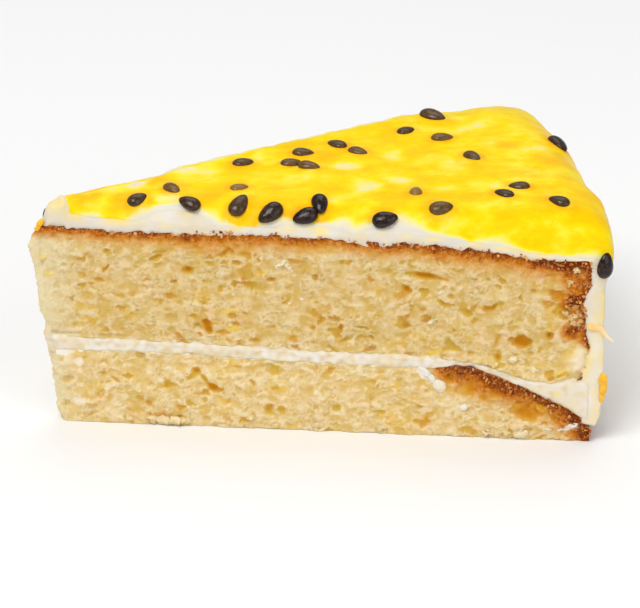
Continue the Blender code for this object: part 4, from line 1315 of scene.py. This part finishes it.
def curl_drops():
    """The curl as a chain of drops so close that they run together."""
    places, radii, heights, widths = zip(*CURL)
    drops = []
    for place in np.linspace(places[0], places[-1], CURL_DROPS):
        spot = [np.interp(place, places, values) for values in (radii, heights, widths)]
        ahead = [np.interp(place + 0.5, places, values) for values in (radii, heights)]
        behind = [np.interp(place - 0.5, places, values) for values in (radii, heights)]
        tilt = math.degrees(math.atan2(ahead[1] - behind[1], ahead[0] - behind[0]))
        drops.append((spot[0], 0, spot[1], 1.5, spot[2], tilt, 0.3 + 0.1 * place))
    return drops


curd_drops = grown(on_cut("curd_drops", CURD_DROPS + curl_drops(), 0.3, 0.8),
                   lump_tree("curd_drops", 0.3, curd_drop_finish()), {})
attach(curd_drops, "root")
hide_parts("passion_topping")

# Studio: a plain pale floor, soft light from three large panels and an even pale sky. The camera looks
# down a little on the front cut, with the tip to the left. Lengths are in metres unless the name says.
FLOOR_HALF = 3.0
FLOOR_TONE = (0.9, 0.9, 0.9, 1.0)
SKY_STRENGTH = 0.41
# Each panel: azimuth and elevation in degrees, distance, size, and power in watts.
PANELS = {"key_panel": (-48, 58, 1.2, 0.6, 8.1), "fill_panel": (30, 28, 1.4, 1.0, 4.1),
          "top_panel": (160, 65, 1.2, 0.8, 3.3)}
VIEW_AZIMUTH = math.radians(-12.9)
VIEW_ELEVATION = math.radians(24.8)
VIEW_DISTANCE = 0.8
VIEW_CENTRE = Vector((-0.0095, -0.0038, 0.0224))
FOCAL_PIXELS = 3790.0
WIDTH_PIXELS = 640.0
CLIP_START = 0.05

floor_mesh = bpy.data.meshes.new("studio_floor")
floor_mesh.from_pydata([(-FLOOR_HALF, -FLOOR_HALF, 0), (FLOOR_HALF, -FLOOR_HALF, 0),
                        (FLOOR_HALF, FLOOR_HALF, 0), (-FLOOR_HALF, FLOOR_HALF, 0)], [], [(0, 1, 2, 3)])
studio_floor = bpy.data.objects.new("studio_floor", floor_mesh)
bpy.context.scene.collection.objects.link(studio_floor)
floor_finish = new_finish("pale_floor", Roughness=0.9, Specular_IOR_Level=0.1, Base_Color=FLOOR_TONE)[0]
floor_mesh.materials.append(floor_finish)

world_light = bpy.data.worlds.new("studio")
world_light.use_nodes = True
world_light.node_tree.nodes["Background"].inputs["Color"].default_value = (1.0, 1.0, 1.0, 1.0)
world_light.node_tree.nodes["Background"].inputs["Strength"].default_value = SKY_STRENGTH
bpy.context.scene.world = world_light


def panel(name, azimuth, elevation, distance, size, power):
    """A square light that faces the slice. Azimuth 0 is in front of it, at -Y."""
    turn, lift = math.radians(azimuth), math.radians(elevation)
    away = Vector((math.sin(turn) * math.cos(lift), -math.cos(turn) * math.cos(lift), math.sin(lift)))
    lamp = bpy.data.lights.new(name, "AREA")
    lamp.size = size
    lamp.energy = power
    light = bpy.data.objects.new(name, lamp)
    light.location = away * distance
    light.rotation_mode = "QUATERNION"
    light.rotation_quaternion = away.to_track_quat("Z", "Y")
    bpy.context.scene.collection.objects.link(light)


for panel_name, panel_sizes in PANELS.items():
    panel(panel_name, *panel_sizes)

bpy.context.scene.view_settings.view_transform = "Standard"
camera = bpy.data.objects.new("camera", bpy.data.cameras.new("camera"))
camera.data.lens = camera.data.sensor_width * FOCAL_PIXELS / WIDTH_PIXELS
back = Vector((math.sin(VIEW_AZIMUTH) * math.cos(VIEW_ELEVATION),
               -math.cos(VIEW_AZIMUTH) * math.cos(VIEW_ELEVATION), math.sin(VIEW_ELEVATION)))
camera.location = VIEW_CENTRE + back * VIEW_DISTANCE
camera.rotation_mode = "QUATERNION"
camera.rotation_quaternion = back.to_track_quat("Z", "Y")
camera.data.clip_start = CLIP_START
bpy.context.scene.collection.objects.link(camera)
bpy.context.scene.camera = camera
